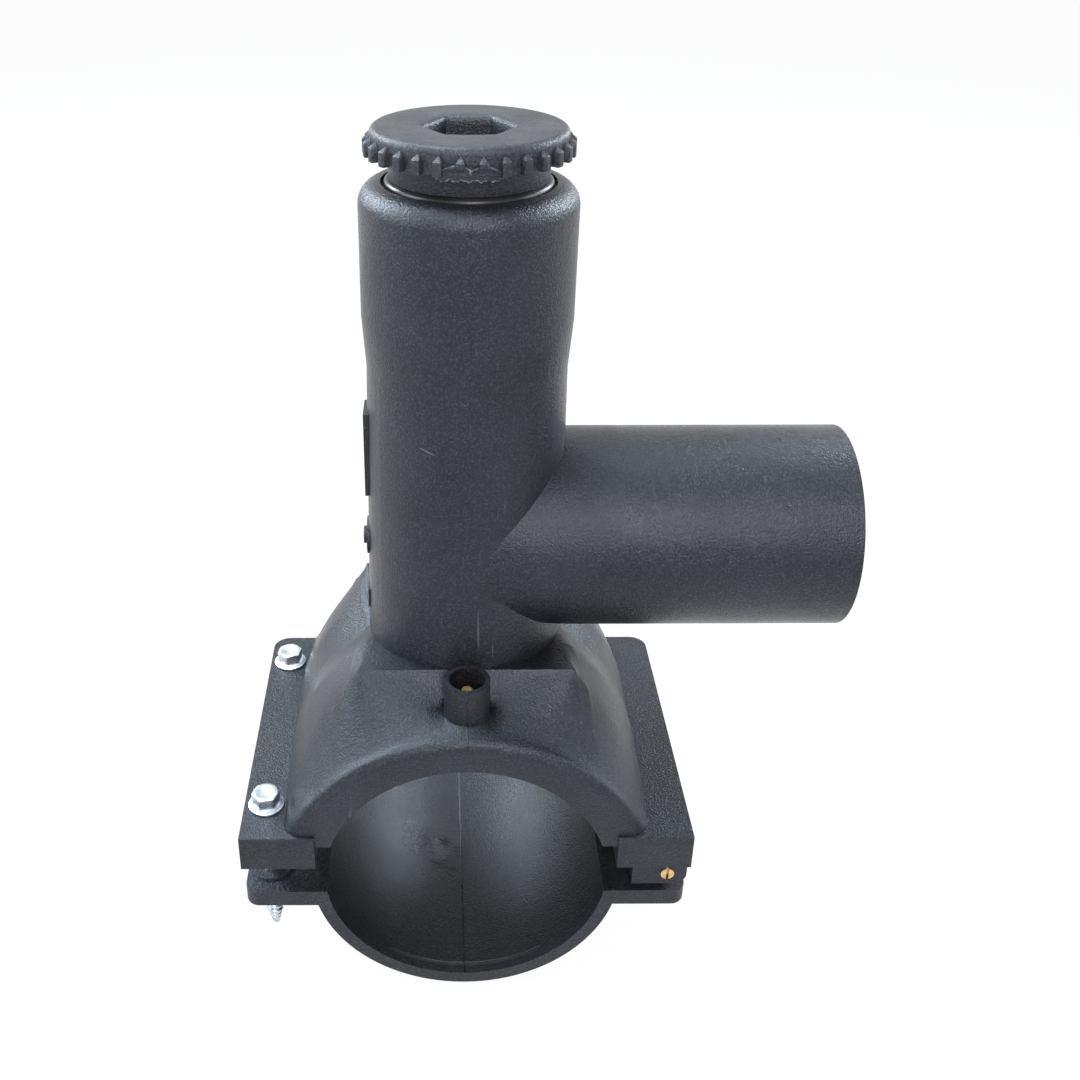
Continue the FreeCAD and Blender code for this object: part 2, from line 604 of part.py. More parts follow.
def saddleBody():
    solids = [archBack(), shoulder(), flange("flange_left", "-"), flange("flange_right", "")]
    tower = lathe("tower", [("0", "towerFootTop"), ("towerFoot", "towerFootTop"),
                            ("towerWaist", "towerWaistTop"), ("towerHead", "towerHeadTop"),
                            ("towerHead", "towerTop"), ("0", "towerTop")])
    soften(tower, "tower_shoulder", "towerShoulder",
           lambda edge: ring(edge, size("towerTop"), size("towerHead")))
    solids.append(tower)
    solids.append(cylinder("outlet", "outletRadius", "outletEnd - outletRoot",
                           ("outletRoot", "0", "outletHeight"), "X"))
    solids.append(cone("outlet_root", "outletRootRadius", "outletRadius", "outletRoot",
                       ("0", "0", "outletHeight"), "X"))
    for side, name in (("-", "front"), ("", "rear")):
        solids.append(cylinder("collar_" + name, "shroudRadius", "shroudTop - shroudFoot",
                               ("0", side + "shroudPlace", "shroudFoot")))
    solids.append(hingeBlock("hinge_front", "knuckleEnd", "knuckleEndLength"))
    solids.append(hingeBlock("hinge_middle", "knuckleMiddle", "2 * knuckleMiddle"))
    solids.append(hingeBlock("hinge_rear", "-(knuckleEnd - knuckleEndLength)", "knuckleEndLength"))
    thick = "plateFace - plateInner"
    solids.append(box("plate_tall", (thick, "plateTallWidth", "plateTallHeight"),
                      ("-plateFace", "-plateTallWidth / 2", "plateTall")))
    solids.append(box("plate_low", (thick, "plateTallWidth", "plateLowHeight"),
                      ("-plateFace", "-plateTallWidth / 2", "plateLow")))
    solids.append(cylinder("plate_round", "plateRoundRadius", thick, ("-plateFace", "0", "plateRound"), "X"))
    solids.append(cylinder("plate_stud", "plateStud", "plateStudOut + bite",
                           ("-plateFace - plateStudOut", "0", "plateRound"), "X"))
    block = fuse("saddle_block", solids[:2])
    solid = fuse("saddle_solid", [block] + solids[2:])

    tools = [
        cylinder("seat", "seatRadius", "2 * (flangeHalf + beyond)", ("0", "-flangeHalf - beyond", "0"), "Y"),
        box("arch_under", ("2 * flangeInner", "2 * (flangeHalf + beyond)", "archEnd + beyond"),
            ("-flangeInner", "-flangeHalf - beyond", "-beyond")),
        cylinder("tower_bore", "towerBore", "towerTop - sleeveBottom + beyond", ("0", "0", "sleeveBottom")),
        cylinder("tap_hole", "tapHole", "sleeveBottom - archEnd + bite", ("0", "0", "archEnd")),
        cylinder("mouth", "mouthRadius", "mouthDepth + beyond", ("0", "0", "mouthFloor")),
        cylinder("throat", "throatRadius", "throatEnd", ("0", "0", "outletHeight"), "X"),
        cone("throat_opening", "throatRadius", "outletBore", "throatTaper",
             ("throatEnd", "0", "outletHeight"), "X"),
        cylinder("outlet_bore", "outletBore", "outletEnd - throatEnd - throatTaper + beyond",
                 ("throatEnd + throatTaper", "0", "outletHeight"), "X"),
        cylinder("hinge_bore", "hingeBore", "2 * (knuckleEnd + beyond)",
                 ("hingePlace", "-knuckleEnd - beyond", "0"), "Y"),
    ]
    for side, name in (("-", "front"), ("", "rear")):
        tools.append(cylinder("collar_bore_" + name, "shroudBore", "shroudDepth + beyond",
                              ("0", side + "shroudPlace", "shroudFloor")))
        tools.append(cylinder("terminal_hole_" + name, "terminalFoot", "shroudFloor - leadHeight",
                              ("0", side + "shroudPlace", "leadHeight")))
        tools.append(cylinder("screw_hole_" + name, "screwRadius + screwHoleGap",
                              "flangeThickness + 2 * beyond",
                              ("-screwPlaceX", side + "screwPlaceY", "flangeBottom - beyond")))
    hollow = cut("saddle_hollow", solid, tools)
    return cut("saddle_body", hollow, [coil("coil_groove", "seatRadius - bite")])


def lowerClamp():
    reach = "2 * clampHalf"
    shell = cylinder("clamp_shell", "clampRadius", reach, ("0", "-clampHalf", "0"), "Y")
    past = "2 * (clampHalf + beyond)"
    above = box("clamp_above", ("2 * (clampRadius + beyond)", past, "clampRadius + beyond"),
                ("-clampRadius - beyond", "-clampHalf - beyond", "-clampTop"))
    seat = cylinder("clamp_seat", "seatRadius", past, ("0", "-clampHalf - beyond", "0"), "Y")
    shellHalf = cut("clamp_half", shell, [above, seat])
    pieces = [shellHalf]
    for side, name in (("-", "left"), ("", "right")):
        inner = side + "clampInner"
        outer = side + "clampOuter"
        body = slab("clamp_flange_" + name, "XY_Plane",
                    [(inner, "-clampHalf"), (outer, "-clampHalf"),
                     (outer, "clampHalf"), (inner, "clampHalf")],
                    "-clampBottom", "clampThickness")
        edgeX = size(outer)
        soften(body, "clamp_corner_" + name, "clampCorner",
               lambda edge: upright(edge) and abs(middle(edge).x - edgeX) < 0.01)
        pieces.append(body)
    for side, name in (("-", "front"), ("", "rear")):
        pieces.append(cylinder("clamp_pad_" + name, "clampPad", "clampPadHeight + bite",
                               ("-screwPlaceX", side + "screwPlaceY", "-clampTop - bite")))
    span = "knuckleEnd - knuckleEndLength - knuckleMiddle - 2 * knuckleGap"
    for name, start in (("front", "-(knuckleEnd - knuckleEndLength - knuckleGap)"),
                        ("rear", "knuckleMiddle + knuckleGap")):
        pieces.append(cylinder("knuckle_" + name, "knuckleRound", span, ("hingePlace", start, "0"), "Y"))
        pieces.append(box("knuckle_web_" + name, ("2 * knuckleRound", span, "clampTop + bite"),
                          ("hingePlace - knuckleRound", start, "-clampTop - bite")))
    tools = [cylinder("knuckle_bore", "hingeBore", "2 * (clampHalf + beyond)",
                      ("hingePlace", "-clampHalf - beyond", "0"), "Y")]
    wide = "screwRadius + runningGap"
    deep = "clampBottom + 2 * beyond"
    low = "-clampBottom - beyond"
    for side, name in (("-", "front"), ("", "rear")):
        along = side + "screwPlaceY"
        tools.append(cylinder("clamp_slot_inner_" + name, wide, deep, ("-screwPlaceX", along, low)))
        tools.append(cylinder("clamp_slot_outer_" + name, wide, deep,
                              ("-screwPlaceX - clampSlot", along, low)))
        tools.append(box("clamp_slot_" + name, ("clampSlot", "2 * (%s)" % wide, deep),
                         ("-screwPlaceX - clampSlot", along + " - screwRadius - runningGap", low)))
    return cut("lower_clamp", fuse("clamp_solid", pieces), tools)


def hingePin():
    rod = cylinder("hinge_rod", "hingePin", "2 * hingePinHalf", ("hingePlace", "-hingePinHalf", "0"), "Y")
    slots = []
    for name, start in (("front", "-hingePinHalf - bite"), ("rear", "hingePinHalf - hingeSlotDepth")):
        slots.append(box("hinge_slot_" + name,
                         ("hingeSlotWidth", "hingeSlotDepth + bite", "2 * (hingePin + bite)"),
                         ("hingePlace - hingeSlotWidth / 2", start, "-hingePin - bite")))
    return cut("hinge_pin", rod, slots)


def screw(label, side):
    """A clamp screw with its seat at height zero of its own frame."""
    turned = lathe(label + "_shank", [
        ("0", "-screwLength"), ("screwTipRadius", "-screwLength"), ("screwRadius", "screwTip - screwLength"),
        ("screwRadius", "0"), ("screwCollar", "0"), ("screwCollar", "screwCollarHeight / 2"),
        ("screwAcross / 2", "screwCollarHeight"), ("screwAcross / 2", "screwHead - screwCrownHeight"),
        ("screwAcross / 2 - screwCrown", "screwHead"), ("0", "screwHead")])
    head = hexagon(label + "_head", "screwAcross", "screwHead - screwCrownHeight - screwCollarHeight / 2",
                   ("0", "0", "screwCollarHeight / 2"))
    return place(fuse(label, [turned, head]), ("-screwPlaceX", side + "screwPlaceY", "flangeTop"))


def hexagonCorners(across):
    half = "(%s) / 2" % across
    corner = "(%s) / sqrt(3)" % across
    return [(corner, "0"), (corner + " / 2", half), ("-" + corner + " / 2", half), ("-" + corner, "0"),
            ("-" + corner + " / 2", "-" + half), (corner + " / 2", "-" + half)]


def capPiece():
    floor = "capTop - capSocketDepth - capFloor"
    body = lathe("cap", [
        ("0", floor), ("capPlug - capPlugWall", floor), ("capPlug - capPlugWall", "capPlugBottom"),
        ("capPlug", "capPlugBottom"), ("capPlug", "mouthFloor"), ("capGroove", "mouthFloor"),
        ("capGroove", "capNeckBottom"), ("capNeck", "capNeckBottom"), ("capNeck", "capUnder"),
        ("capRadius", "capUnder"), ("capRadius", "capTop"), ("0", "capTop")])
    soften(body, "cap_edge", "capEdge", lambda edge: ring(edge, size("capTop"), size("capRadius")))
    socket = sketchOn(body, "cap_socket_outline", "XY_Plane", "capTop")
    outline(socket, hexagonCorners("capSocketAcross"))
    pocket(body, "cap_socket", socket, "capSocketDepth")
    tooth = sketchOn(body, "cap_tooth_outline", "YZ_Plane", "capRadius - toothRoot")
    half = "toothWidth / 2"
    top = "capUnder + toothBody"
    outline(tooth, [("-" + half, "capUnder"), (half, "capUnder"), (half, top), ("0", top + " + toothPoint"),
                    ("-" + half, top)])
    first = pad(body, "cap_tooth", tooth, "toothOut + toothRoot")
    aroundZ(body, "cap_teeth", first, "capTeeth")
    return body


def cutterPiece():
    bore = "cutterRadius - cutterWall"
    ceiling = "cutterTop - cutterHead"
    groove = "cutterSealRadius - cutterSealWire - cutterSealRoom"
    low = "cutterSealHeight - cutterSealWire - cutterSealRoom"
    high = "cutterSealHeight + cutterSealWire + cutterSealRoom"
    body = lathe("cutter", [
        (bore, "cutterBottom"), ("cutterRadius", "cutterBottom"), ("cutterRadius", low), (groove, low),
        (groove, high), ("cutterRadius", high), ("cutterRadius", "cutterTop"), ("0", "cutterTop"),
        ("0", ceiling), (bore, ceiling)])
    socket = sketchOn(body, "cutter_socket_outline", "XY_Plane", "cutterTop")
    outline(socket, hexagonCorners("cutterSocketAcross"))
    pocket(body, "cutter_socket", socket, "cutterSocketDepth")
    notch = sketchOn(body, "cutter_notch_outline", "YZ_Plane", "cutterRadius + bite")
    half = "cutterToothGap / 2"
    outline(notch, [("-" + half, "cutterBottom - bite"), (half, "cutterBottom - bite"),
                    ("0", "cutterBottom + cutterToothDepth")])
    first = pocket(body, "cutter_notch", notch, "cutterWall + 2")
    aroundZ(body, "cutter_notches", first, "cutterTeeth")
    return body


def guideSleeve():
    long = "sleeveTop - sleeveBottom"
    outer = cylinder("sleeve_outer", "towerBore", long, ("0", "0", "sleeveBottom"))
    inner = cylinder("sleeve_inner", "sleeveBore", long + " + 2 * bite", ("0", "0", "sleeveBottom - bite"))
    window = cylinder("sleeve_window", "throatRadius", "towerBore + 5", ("0", "0", "outletHeight"), "X")
    return cut("guide_sleeve", outer, [inner, window])


def terminalPin(label, side):
    body = lathe(label, [("0", "leadHeight"), ("terminalFoot", "leadHeight"), ("terminalFoot", "shroudFloor"),
                         ("terminalRadius", "shroudFloor + terminalTaper"),
                         ("terminalRadius", "terminalTop"), ("0", "terminalTop")])
    soften(body, label + "_dome", "terminalDome",
           lambda edge: ring(edge, size("terminalTop"), size("terminalRadius")))
    return place(body, ("0", side + "shroudPlace", "0"))


coilWall = coilBand()
named(saddleBody(), "saddle_body")
named(lowerClamp(), "lower_clamp")
named(hingePin(), "hinge_pin")
named(screw("clamp_screw_front", "-"), "clamp_screw_front")
named(screw("clamp_screw_rear", ""), "clamp_screw_rear")
named(capPiece(), "cap")
named(torus("cap_o_ring", "sealRadius", "sealWire", ("0", "0", "sealHeight")), "cap_o_ring")
named(cutterPiece(), "cutter")
named(torus("cutter_o_ring", "cutterSealRadius", "cutterSealWire", ("0", "0", "cutterSealHeight")),
      "cutter_o_ring")
named(guideSleeve(), "guide_sleeve")
named(terminalPin("terminal_pin_front", "-"), "terminal_pin_front")
named(terminalPin("terminal_pin_rear", ""), "terminal_pin_rear")
named(coil("heating_coil", "coilInner"), "heating_coil")
doc.recompute()

for item in doc.Objects:
    if "Invalid" in item.State or "Error" in item.State:
        raise ValueError("%s failed: %s" % (item.Name, item.State))
os.makedirs("parts", exist_ok=True)
for node in NODES:
    shape = node.Shape
    if shape.isNull() or not shape.isValid() or len(shape.Solids) != 1:
        raise ValueError("%s is not one sound solid" % node.Label)
    shape.exportStep("parts/%s.step" % node.Label)
    bounds = shape.BoundBox
    print("%-20s %9.0f mm3  x %7.2f %7.2f  y %7.2f %7.2f  z %7.2f %7.2f" % (
        node.Label, shape.Volume, bounds.XMin, bounds.XMax, bounds.YMin, bounds.YMax,
        bounds.ZMin, bounds.ZMax))
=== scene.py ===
import math
import random

import bmesh
import bpy
from mathutils import Matrix, Vector


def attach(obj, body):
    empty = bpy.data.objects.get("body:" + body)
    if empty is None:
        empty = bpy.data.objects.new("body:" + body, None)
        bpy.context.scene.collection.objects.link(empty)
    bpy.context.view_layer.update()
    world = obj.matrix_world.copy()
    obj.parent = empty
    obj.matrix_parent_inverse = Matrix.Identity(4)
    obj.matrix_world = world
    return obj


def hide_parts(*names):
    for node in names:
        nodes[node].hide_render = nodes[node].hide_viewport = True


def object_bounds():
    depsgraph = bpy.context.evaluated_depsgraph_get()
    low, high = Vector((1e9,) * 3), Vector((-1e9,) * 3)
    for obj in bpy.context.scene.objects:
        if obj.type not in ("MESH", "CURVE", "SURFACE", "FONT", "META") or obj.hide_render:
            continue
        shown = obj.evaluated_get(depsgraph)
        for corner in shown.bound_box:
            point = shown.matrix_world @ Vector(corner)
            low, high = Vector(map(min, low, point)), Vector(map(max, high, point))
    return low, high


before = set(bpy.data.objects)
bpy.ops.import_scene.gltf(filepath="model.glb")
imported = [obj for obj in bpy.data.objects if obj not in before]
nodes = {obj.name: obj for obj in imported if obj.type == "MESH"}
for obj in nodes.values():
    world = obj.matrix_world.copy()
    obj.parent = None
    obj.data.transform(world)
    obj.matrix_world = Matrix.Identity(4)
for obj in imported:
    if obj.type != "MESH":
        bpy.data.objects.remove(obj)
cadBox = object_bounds()
print("frame loaded:", len(nodes), "nodes")

mm = 0.001

camera = {
    "place": (-9.66, -339.20, 299.51),  # mm from the main's axis
    "yaw": 0.39,  # degrees to the right
    "pitch": 28.45,  # degrees down
    "roll": 0.04,
    "lens": 41.23,
    "shift": (0.0907, -0.0521),
}


def addCamera(values):
    data = bpy.data.cameras.new("viewCamera")
    data.lens = values["lens"]
    data.sensor_width = 36
    data.shift_x, data.shift_y = values["shift"]
    data.clip_start = 0.01
    data.clip_end = 20
    obj = bpy.data.objects.new("viewCamera", data)
    bpy.context.scene.collection.objects.link(obj)
    obj.location = Vector(values["place"]) * mm
    turn = Matrix.Rotation(math.radians(-values["yaw"]), 4, "Z")
    tilt = Matrix.Rotation(math.radians(90 - values["pitch"]), 4, "X")
    roll = Matrix.Rotation(math.radians(values["roll"]), 4, "Z")
    obj.rotation_euler = (turn @ tilt @ roll).to_euler()
    bpy.context.scene.camera = obj


addCamera(camera)


class Wiring:  # short calls for placing and joining nodes of one tree
    def __init__(self, tree):
        self.tree = tree

    def node(self, kind, **settings):
        made = self.tree.nodes.new(kind)
        for name, value in settings.items():
            setattr(made, name, value)
        return made

    def feed(self, socket, value):
        if isinstance(value, bpy.types.NodeSocket):
            self.tree.links.new(value, socket)
        elif value is not None:
            socket.default_value = value

    def math(self, operation, first, second=None, third=None, clamp=False):
        made = self.node("ShaderNodeMath", operation=operation, use_clamp=clamp)
        for number, value in enumerate((first, second, third)):
            self.feed(made.inputs[number], value)
        return made.outputs[0]

    def ramp(self, value, low, high, start=0.0, end=1.0):  # a smooth step between two values
        made = self.node("ShaderNodeMapRange", interpolation_type="SMOOTHSTEP")
        for name, number in (("Value", value), ("From Min", low), ("From Max", high), ("To Min", start),
                             ("To Max", end)):
            self.feed(made.inputs[name], number)
        return made.outputs["Result"]

    def stretch(self, vector, scale, place=(0, 0, 0), turn=(0, 0, 0)):
        made = self.node("ShaderNodeMapping")
        self.feed(made.inputs["Vector"], vector)
        made.inputs["Scale"].default_value = scale
        made.inputs["Location"].default_value = place
        made.inputs["Rotation"].default_value = turn
        return made.outputs["Vector"]

    def noise(self, vector, scale, detail=2.0, roughness=0.5):
        made = self.node("ShaderNodeTexNoise")
        self.feed(made.inputs["Vector"], vector)
        self.feed(made.inputs["Scale"], scale)
        made.inputs["Detail"].default_value = detail
        made.inputs["Roughness"].default_value = roughness
        return made.outputs["Fac"]

    def blend(self, amount, first, second):
        made = self.node("ShaderNodeMix", data_type="RGBA")
        self.feed(made.inputs["Factor"], amount)
        self.feed(made.inputs["A"], first if isinstance(first, bpy.types.NodeSocket) else (*first, 1))
        self.feed(made.inputs["B"], second if isinstance(second, bpy.types.NodeSocket) else (*second, 1))
        return made.outputs["Result"]

    def split(self, vector):
        made = self.node("ShaderNodeSeparateXYZ")
        self.feed(made.inputs[0], vector)
        return made.outputs

    def bump(self, height, distance, normal=None, strength=1.0):
        made = self.node("ShaderNodeBump")
        made.inputs["Strength"].default_value = strength
        made.inputs["Distance"].default_value = distance
        self.feed(made.inputs["Height"], height)
        if normal is not None:
            self.feed(made.inputs["Normal"], normal)
        return made.outputs["Normal"]


studio = {
    "floorSize": 6.0,  # m
    "floorTone": 0.85,
    "floorRoughness": 0.9,
    "floorGlow": 0.94,  # share of the floor that the camera sees as plain white
    "world": 0.4,
    "worldTint": (0.88, 0.94, 1.0),
    "lamps": [  # name, place in m, size in m, watts, colour
        ("topBox", (-0.3, 0.2, 1.25), 0.7, 19.0, (0.82, 0.92, 1.0)),
        ("leftBox", (-1.15, -0.1, 0.65), 0.7, 13.0, (0.82, 0.92, 1.0)),
        ("leftRim", (-0.9, 0.8, 0.7), 0.5, 17.0, (0.82, 0.92, 1.0)),
        ("rightBox", (1.2, 0.15, 0.6), 0.6, 7.0, (0.86, 0.94, 1.0)),
        ("rightRim", (0.95, 0.8, 0.6), 0.4, 13.0, (0.84, 0.93, 1.0)),
        ("frontBox", (0.1, -1.25, 0.92), 0.35, 18.0, (1.0, 0.93, 0.97)),
    ],
    "aim": (0.0, 0.0, 0.08),
}


def whiteForCamera(wires, shader, white, share):  # straight looks, reflections and what is seen through glass
    path = wires.node("ShaderNodeLightPath").outputs
    bounced = wires.math("MAXIMUM", path["Is Glossy Ray"], path["Is Transmission Ray"])
    seen = wires.math("MAXIMUM", path["Is Camera Ray"], bounced)
    mix = wires.node("ShaderNodeMixShader")
    wires.feed(mix.inputs["Fac"], wires.math("MULTIPLY", seen, share))
    wires.feed(mix.inputs[1], shader.outputs[0])
    wires.feed(mix.inputs[2], white.outputs[0])
    return mix.outputs[0]


def addStage(values):
    low = cadBox[0][2] - 0.5 * mm
    half = values["floorSize"] / 2
    mesh = bpy.data.meshes.new("floor")
    corners = [(-half, -half, low), (half, -half, low), (half, half, low), (-half, half, low)]
    mesh.from_pydata(corners, [], [(0, 1, 2, 3)])
    floor = bpy.data.objects.new("floor", mesh)
    bpy.context.scene.collection.objects.link(floor)
    material = bpy.data.materials.new("paleFloor")
    material.use_nodes = True
    wires = Wiring(material.node_tree)
    shader = material.node_tree.nodes["Principled BSDF"]
    tone = values["floorTone"]
    shader.inputs["Base Color"].default_value = (tone, tone, tone, 1)
    shader.inputs["Roughness"].default_value = values["floorRoughness"]
    white = wires.node("ShaderNodeEmission")
    white.inputs["Color"].default_value = (1, 1, 1, 1)
    white.inputs["Strength"].default_value = 1.0
    seen = whiteForCamera(wires, shader, white, values["floorGlow"])
    wires.feed(material.node_tree.nodes["Material Output"].inputs["Surface"], seen)
    mesh.materials.append(material)

    world = bpy.data.worlds.new("studioWorld")
    bpy.context.scene.world = world
    world.use_nodes = True
    world.node_tree.nodes.clear()
    wires = Wiring(world.node_tree)
    soft = wires.node("ShaderNodeBackground")
    soft.inputs["Color"].default_value = (*values["worldTint"], 1)
    soft.inputs["Strength"].default_value = values["world"]
    white = wires.node("ShaderNodeBackground")
    white.inputs["Color"].default_value = (1, 1, 1, 1)
    white.inputs["Strength"].default_value = 1.0
    seen = whiteForCamera(wires, soft, white, 1.0)
    wires.feed(wires.node("ShaderNodeOutputWorld").inputs["Surface"], seen)

    aim = Vector(values["aim"])
    for name, place, width, watts, tint in values["lamps"]:
        data = bpy.data.lights.new(name, "AREA")
        data.shape = "SQUARE"
        data.size = width
        data.energy = watts
        data.color = tint
        lamp = bpy.data.objects.new(name, data)
        bpy.context.scene.collection.objects.link(lamp)
        lamp.location = place
        lamp.rotation_euler = (aim - Vector(place)).to_track_quat("-Z", "Y").to_euler()
    bpy.context.scene.view_settings.view_transform = "Standard"


addStage(studio)
print("camera and studio ready")


def newGroup(name, inputs, outputs):
    group = bpy.data.node_groups.new(name, "ShaderNodeTree")
    for label, kind, value in inputs:
        socket = group.interface.new_socket(label, in_out="INPUT", socket_type=kind)
        if value is not None:
            socket.default_value = value
    for label, kind in outputs:
        group.interface.new_socket(label, in_out="OUTPUT", socket_type=kind)
    wires = Wiring(group)
    return group, wires, wires.node("NodeGroupInput").outputs, wires.node("NodeGroupOutput").inputs


def makeMouldGrain():
    group, wires, given, result = newGroup(
        "mouldGrain",
        [("Vector", "NodeSocketVector", None), ("Grain", "NodeSocketFloat", 1600.0),
         ("Patches", "NodeSocketFloat", 45.0), ("Grit", "NodeSocketFloat", 0.5)],
        [("Height", "NodeSocketFloat"), ("Patch", "NodeSocketFloat"), ("Speck", "NodeSocketFloat")])
    fine = wires.noise(given["Vector"], given["Grain"], 3.0, 0.6)
    broad = wires.noise(given["Vector"], wires.math("MULTIPLY", given["Grain"], 0.3), 2.0)
    rough = wires.math("MULTIPLY", fine, given["Grit"])
    wires.feed(result["Height"], wires.math("ADD", rough, wires.math("MULTIPLY", broad, 0.35)))
    patch = wires.noise(given["Vector"], given["Patches"], 4.0, 0.55)
    wires.feed(result["Patch"], wires.ramp(patch, 0.3, 0.7))
    wires.feed(result["Speck"], wires.ramp(fine, 0.44, 0.72))
    return group


def makeScuffs():
    group, wires, given, result = newGroup(
        "scuffs",
        [("Vector", "NodeSocketVector", None), ("Scale", "NodeSocketFloat", 60.0),
         ("Amount", "NodeSocketFloat", 0.5)],
        [("Mask", "NodeSocketFloat")])
    masks = []
    for turn, place in ((0.6, (0.0, 0.0, 0.0)), (-0.9, (0.31, 0.17, 0.08))):
        flat = wires.stretch(given["Vector"], (1.0, 1.0, 0.045), place, (turn, turn * 0.7, 0.0))
        streak = wires.noise(flat, wires.math("MULTIPLY", given["Scale"], 14.0), 1.0)
        line = wires.ramp(streak, 0.74, 0.80)
        where = wires.ramp(wires.noise(given["Vector"], given["Scale"], 2.0), 0.52, 0.62)
        masks.append(wires.math("MULTIPLY", line, where))
    both = wires.math("MAXIMUM", masks[0], masks[1])
    wires.feed(result["Mask"], wires.math("MULTIPLY", both, given["Amount"], clamp=True))
    return group


def makeTurnedLines():
    group, wires, given, result = newGroup(
        "turnedLines",
        [("Along", "NodeSocketFloat", 0.0), ("Vector", "NodeSocketVector", None),
         ("Pitch", "NodeSocketFloat", 0.0008)],
        [("Height", "NodeSocketFloat")])
    wander = wires.noise(given["Vector"], 35.0, 2.0)
    shifted = wires.math("MULTIPLY_ADD", wander, 0.0006, given["Along"])
    turns = wires.math("MULTIPLY", wires.math("DIVIDE", shifted, given["Pitch"]), 2 * math.pi)
    depth = wires.noise(wires.stretch(given["Vector"], (700.0, 3.0, 3.0)), 1.0, 3.0, 0.7)
    wires.feed(result["Height"], wires.math("MULTIPLY", wires.math("SINE", turns), depth))
    return group


mouldGrain = makeMouldGrain()
scuffs = makeScuffs()
turnedLines = makeTurnedLines()


def newMaterial(name):
    material = bpy.data.materials.new(name)
    material.use_nodes = True
    wires = Wiring(material.node_tree)
    shader = material.node_tree.nodes["Principled BSDF"]
    place = wires.node("ShaderNodeTexCoord").outputs["Object"]
    return material, wires, shader, place


def useGroup(wires, group, **values):
    made = wires.node("ShaderNodeGroup", node_tree=group)
    for name, value in values.items():
        wires.feed(made.inputs[name], value)
    return made.outputs


plastic = {
    "dark": (0.0035, 0.0036, 0.0047),
    "light": (0.0085, 0.0088, 0.0112),
    "speck": (0.060, 0.060, 0.072),
    "speckShare": 0.36,
    "scuff": (0.085, 0.090, 0.105),
    "scuffScale": 42.0,
    "roughness": 0.31,
    "specular": 0.44,
    "lampBlueGlossTint": (0.78, 0.88, 1.0),  # painted light: a blue tint on its gloss, standing in for the blue of the studio light
    "grain": 1500.0,
    "patches": 38.0,
    "grainDepth": 0.40 * mm,
    "spigotStart": 46.5 * mm,  # the outlet is turned beyond this place
    "spigotAbove": (45.0 * mm, 55.0 * mm),
    "spigotPitch": 0.7 * mm,
    "spigotDepth": 0.014 * mm,
    "flangeBeyond": (47.2 * mm, 47.8 * mm),  # the flanges are duller
    "flangeBelow": (18.5 * mm, 19.5 * mm),
    "seamWidth": 0.35 * mm,  # parting line down the middle
    "seamWander": 0.5 * mm,
    "seamDepth": 0.2 * mm,
    "flowDepth": 0.5 * mm,  # broad ripples from the mould
}
towerScratch = {
    "place": (-12.0, -28.0, 141.0),  # mm
    "reach": (3.4, 3.0, 0.3),
    "slope": 0.35,  # its fall for each mm to the right
    "strength": 0.8,
}
clampMarks = {
    "gate": (-6.8, 7.7, -44.7),  # where the clamp's seat was filled, mm
    "gateReach": (11.0, 15.0, 9.0),
    "gateDepth": 1.1,
    "disc": (3.0, 32.0, -45.0),  # a faint round patch behind it
    "discReach": 20.5,
    "discDepth": 0.12,
    "rimLine": -46.3,  # fine step along the seat's front rim
    "rimLineTop": -36.0,
    "rimLineDepth": 0.8,
}


def awayFrom(wires, place, centre, reach):  # distance to a place, as a share of the reach
    moved = wires.node("ShaderNodeVectorMath", operation="SUBTRACT")
    wires.feed(moved.inputs[0], place)
    moved.inputs[1].default_value = [value * mm for value in centre]
    scaled = wires.node("ShaderNodeVectorMath", operation="DIVIDE")
    wires.feed(scaled.inputs[0], moved.outputs[0])
    scaled.inputs[1].default_value = [value * mm for value in reach]
    length = wires.node("ShaderNodeVectorMath", operation="LENGTH")
    wires.feed(length.inputs[0], scaled.outputs[0])
    return length.outputs["Value"]


def addClampMarks(wires, place, normal, values):
    gate = awayFrom(wires, place, values["gate"], values["gateReach"])
    swirl = wires.noise(wires.stretch(place, (150.0, 330.0, 150.0)), 1.0, 3.0, 0.6)
    swirl = wires.math("MULTIPLY", swirl, wires.ramp(gate, 0.25, 1.0, 1.0, 0.0))
    pit = wires.ramp(gate, 0.0, 0.42, -0.8, 0.0)
    normal = wires.bump(wires.math("ADD", swirl, pit), values["gateDepth"] * mm, normal)
    disc = awayFrom(wires, place, values["disc"], (values["discReach"],) * 3)
    normal = wires.bump(wires.ramp(disc, 0.9, 1.04), values["discDepth"] * mm, normal)
    spot = wires.split(place)
    line = wires.math("ABSOLUTE", wires.math("SUBTRACT", spot["Y"], values["rimLine"] * mm))
    line = wires.ramp(line, 0.1 * mm, 0.7 * mm, -1.0, 0.0)
    low = wires.ramp(spot["Z"], values["rimLineTop"] * mm, (values["rimLineTop"] - 4) * mm)
    return wires.bump(wires.math("MULTIPLY", line, low), values["rimLineDepth"] * mm, normal)


def addScratch(wires, spot, color, scuff, values):
    slant = wires.math("MULTIPLY_ADD", spot["X"], values["slope"], spot["Z"])
    level = wires.node("ShaderNodeCombineXYZ")
    for socket, value in zip(level.inputs, (spot["X"], spot["Y"], slant)):
        wires.feed(socket, value)
    x, y, z = values["place"]
    away = awayFrom(wires, level.outputs[0], (x, y, z + x * values["slope"]), values["reach"])
    return wires.blend(wires.ramp(away, 0.5, 1.0, values["strength"], 0.0), color, scuff)


def addGrain(wires, place, values, grit):
    return useGroup(wires, mouldGrain, Vector=place, Grain=values["grain"], Patches=values["patches"],
                    Grit=grit)


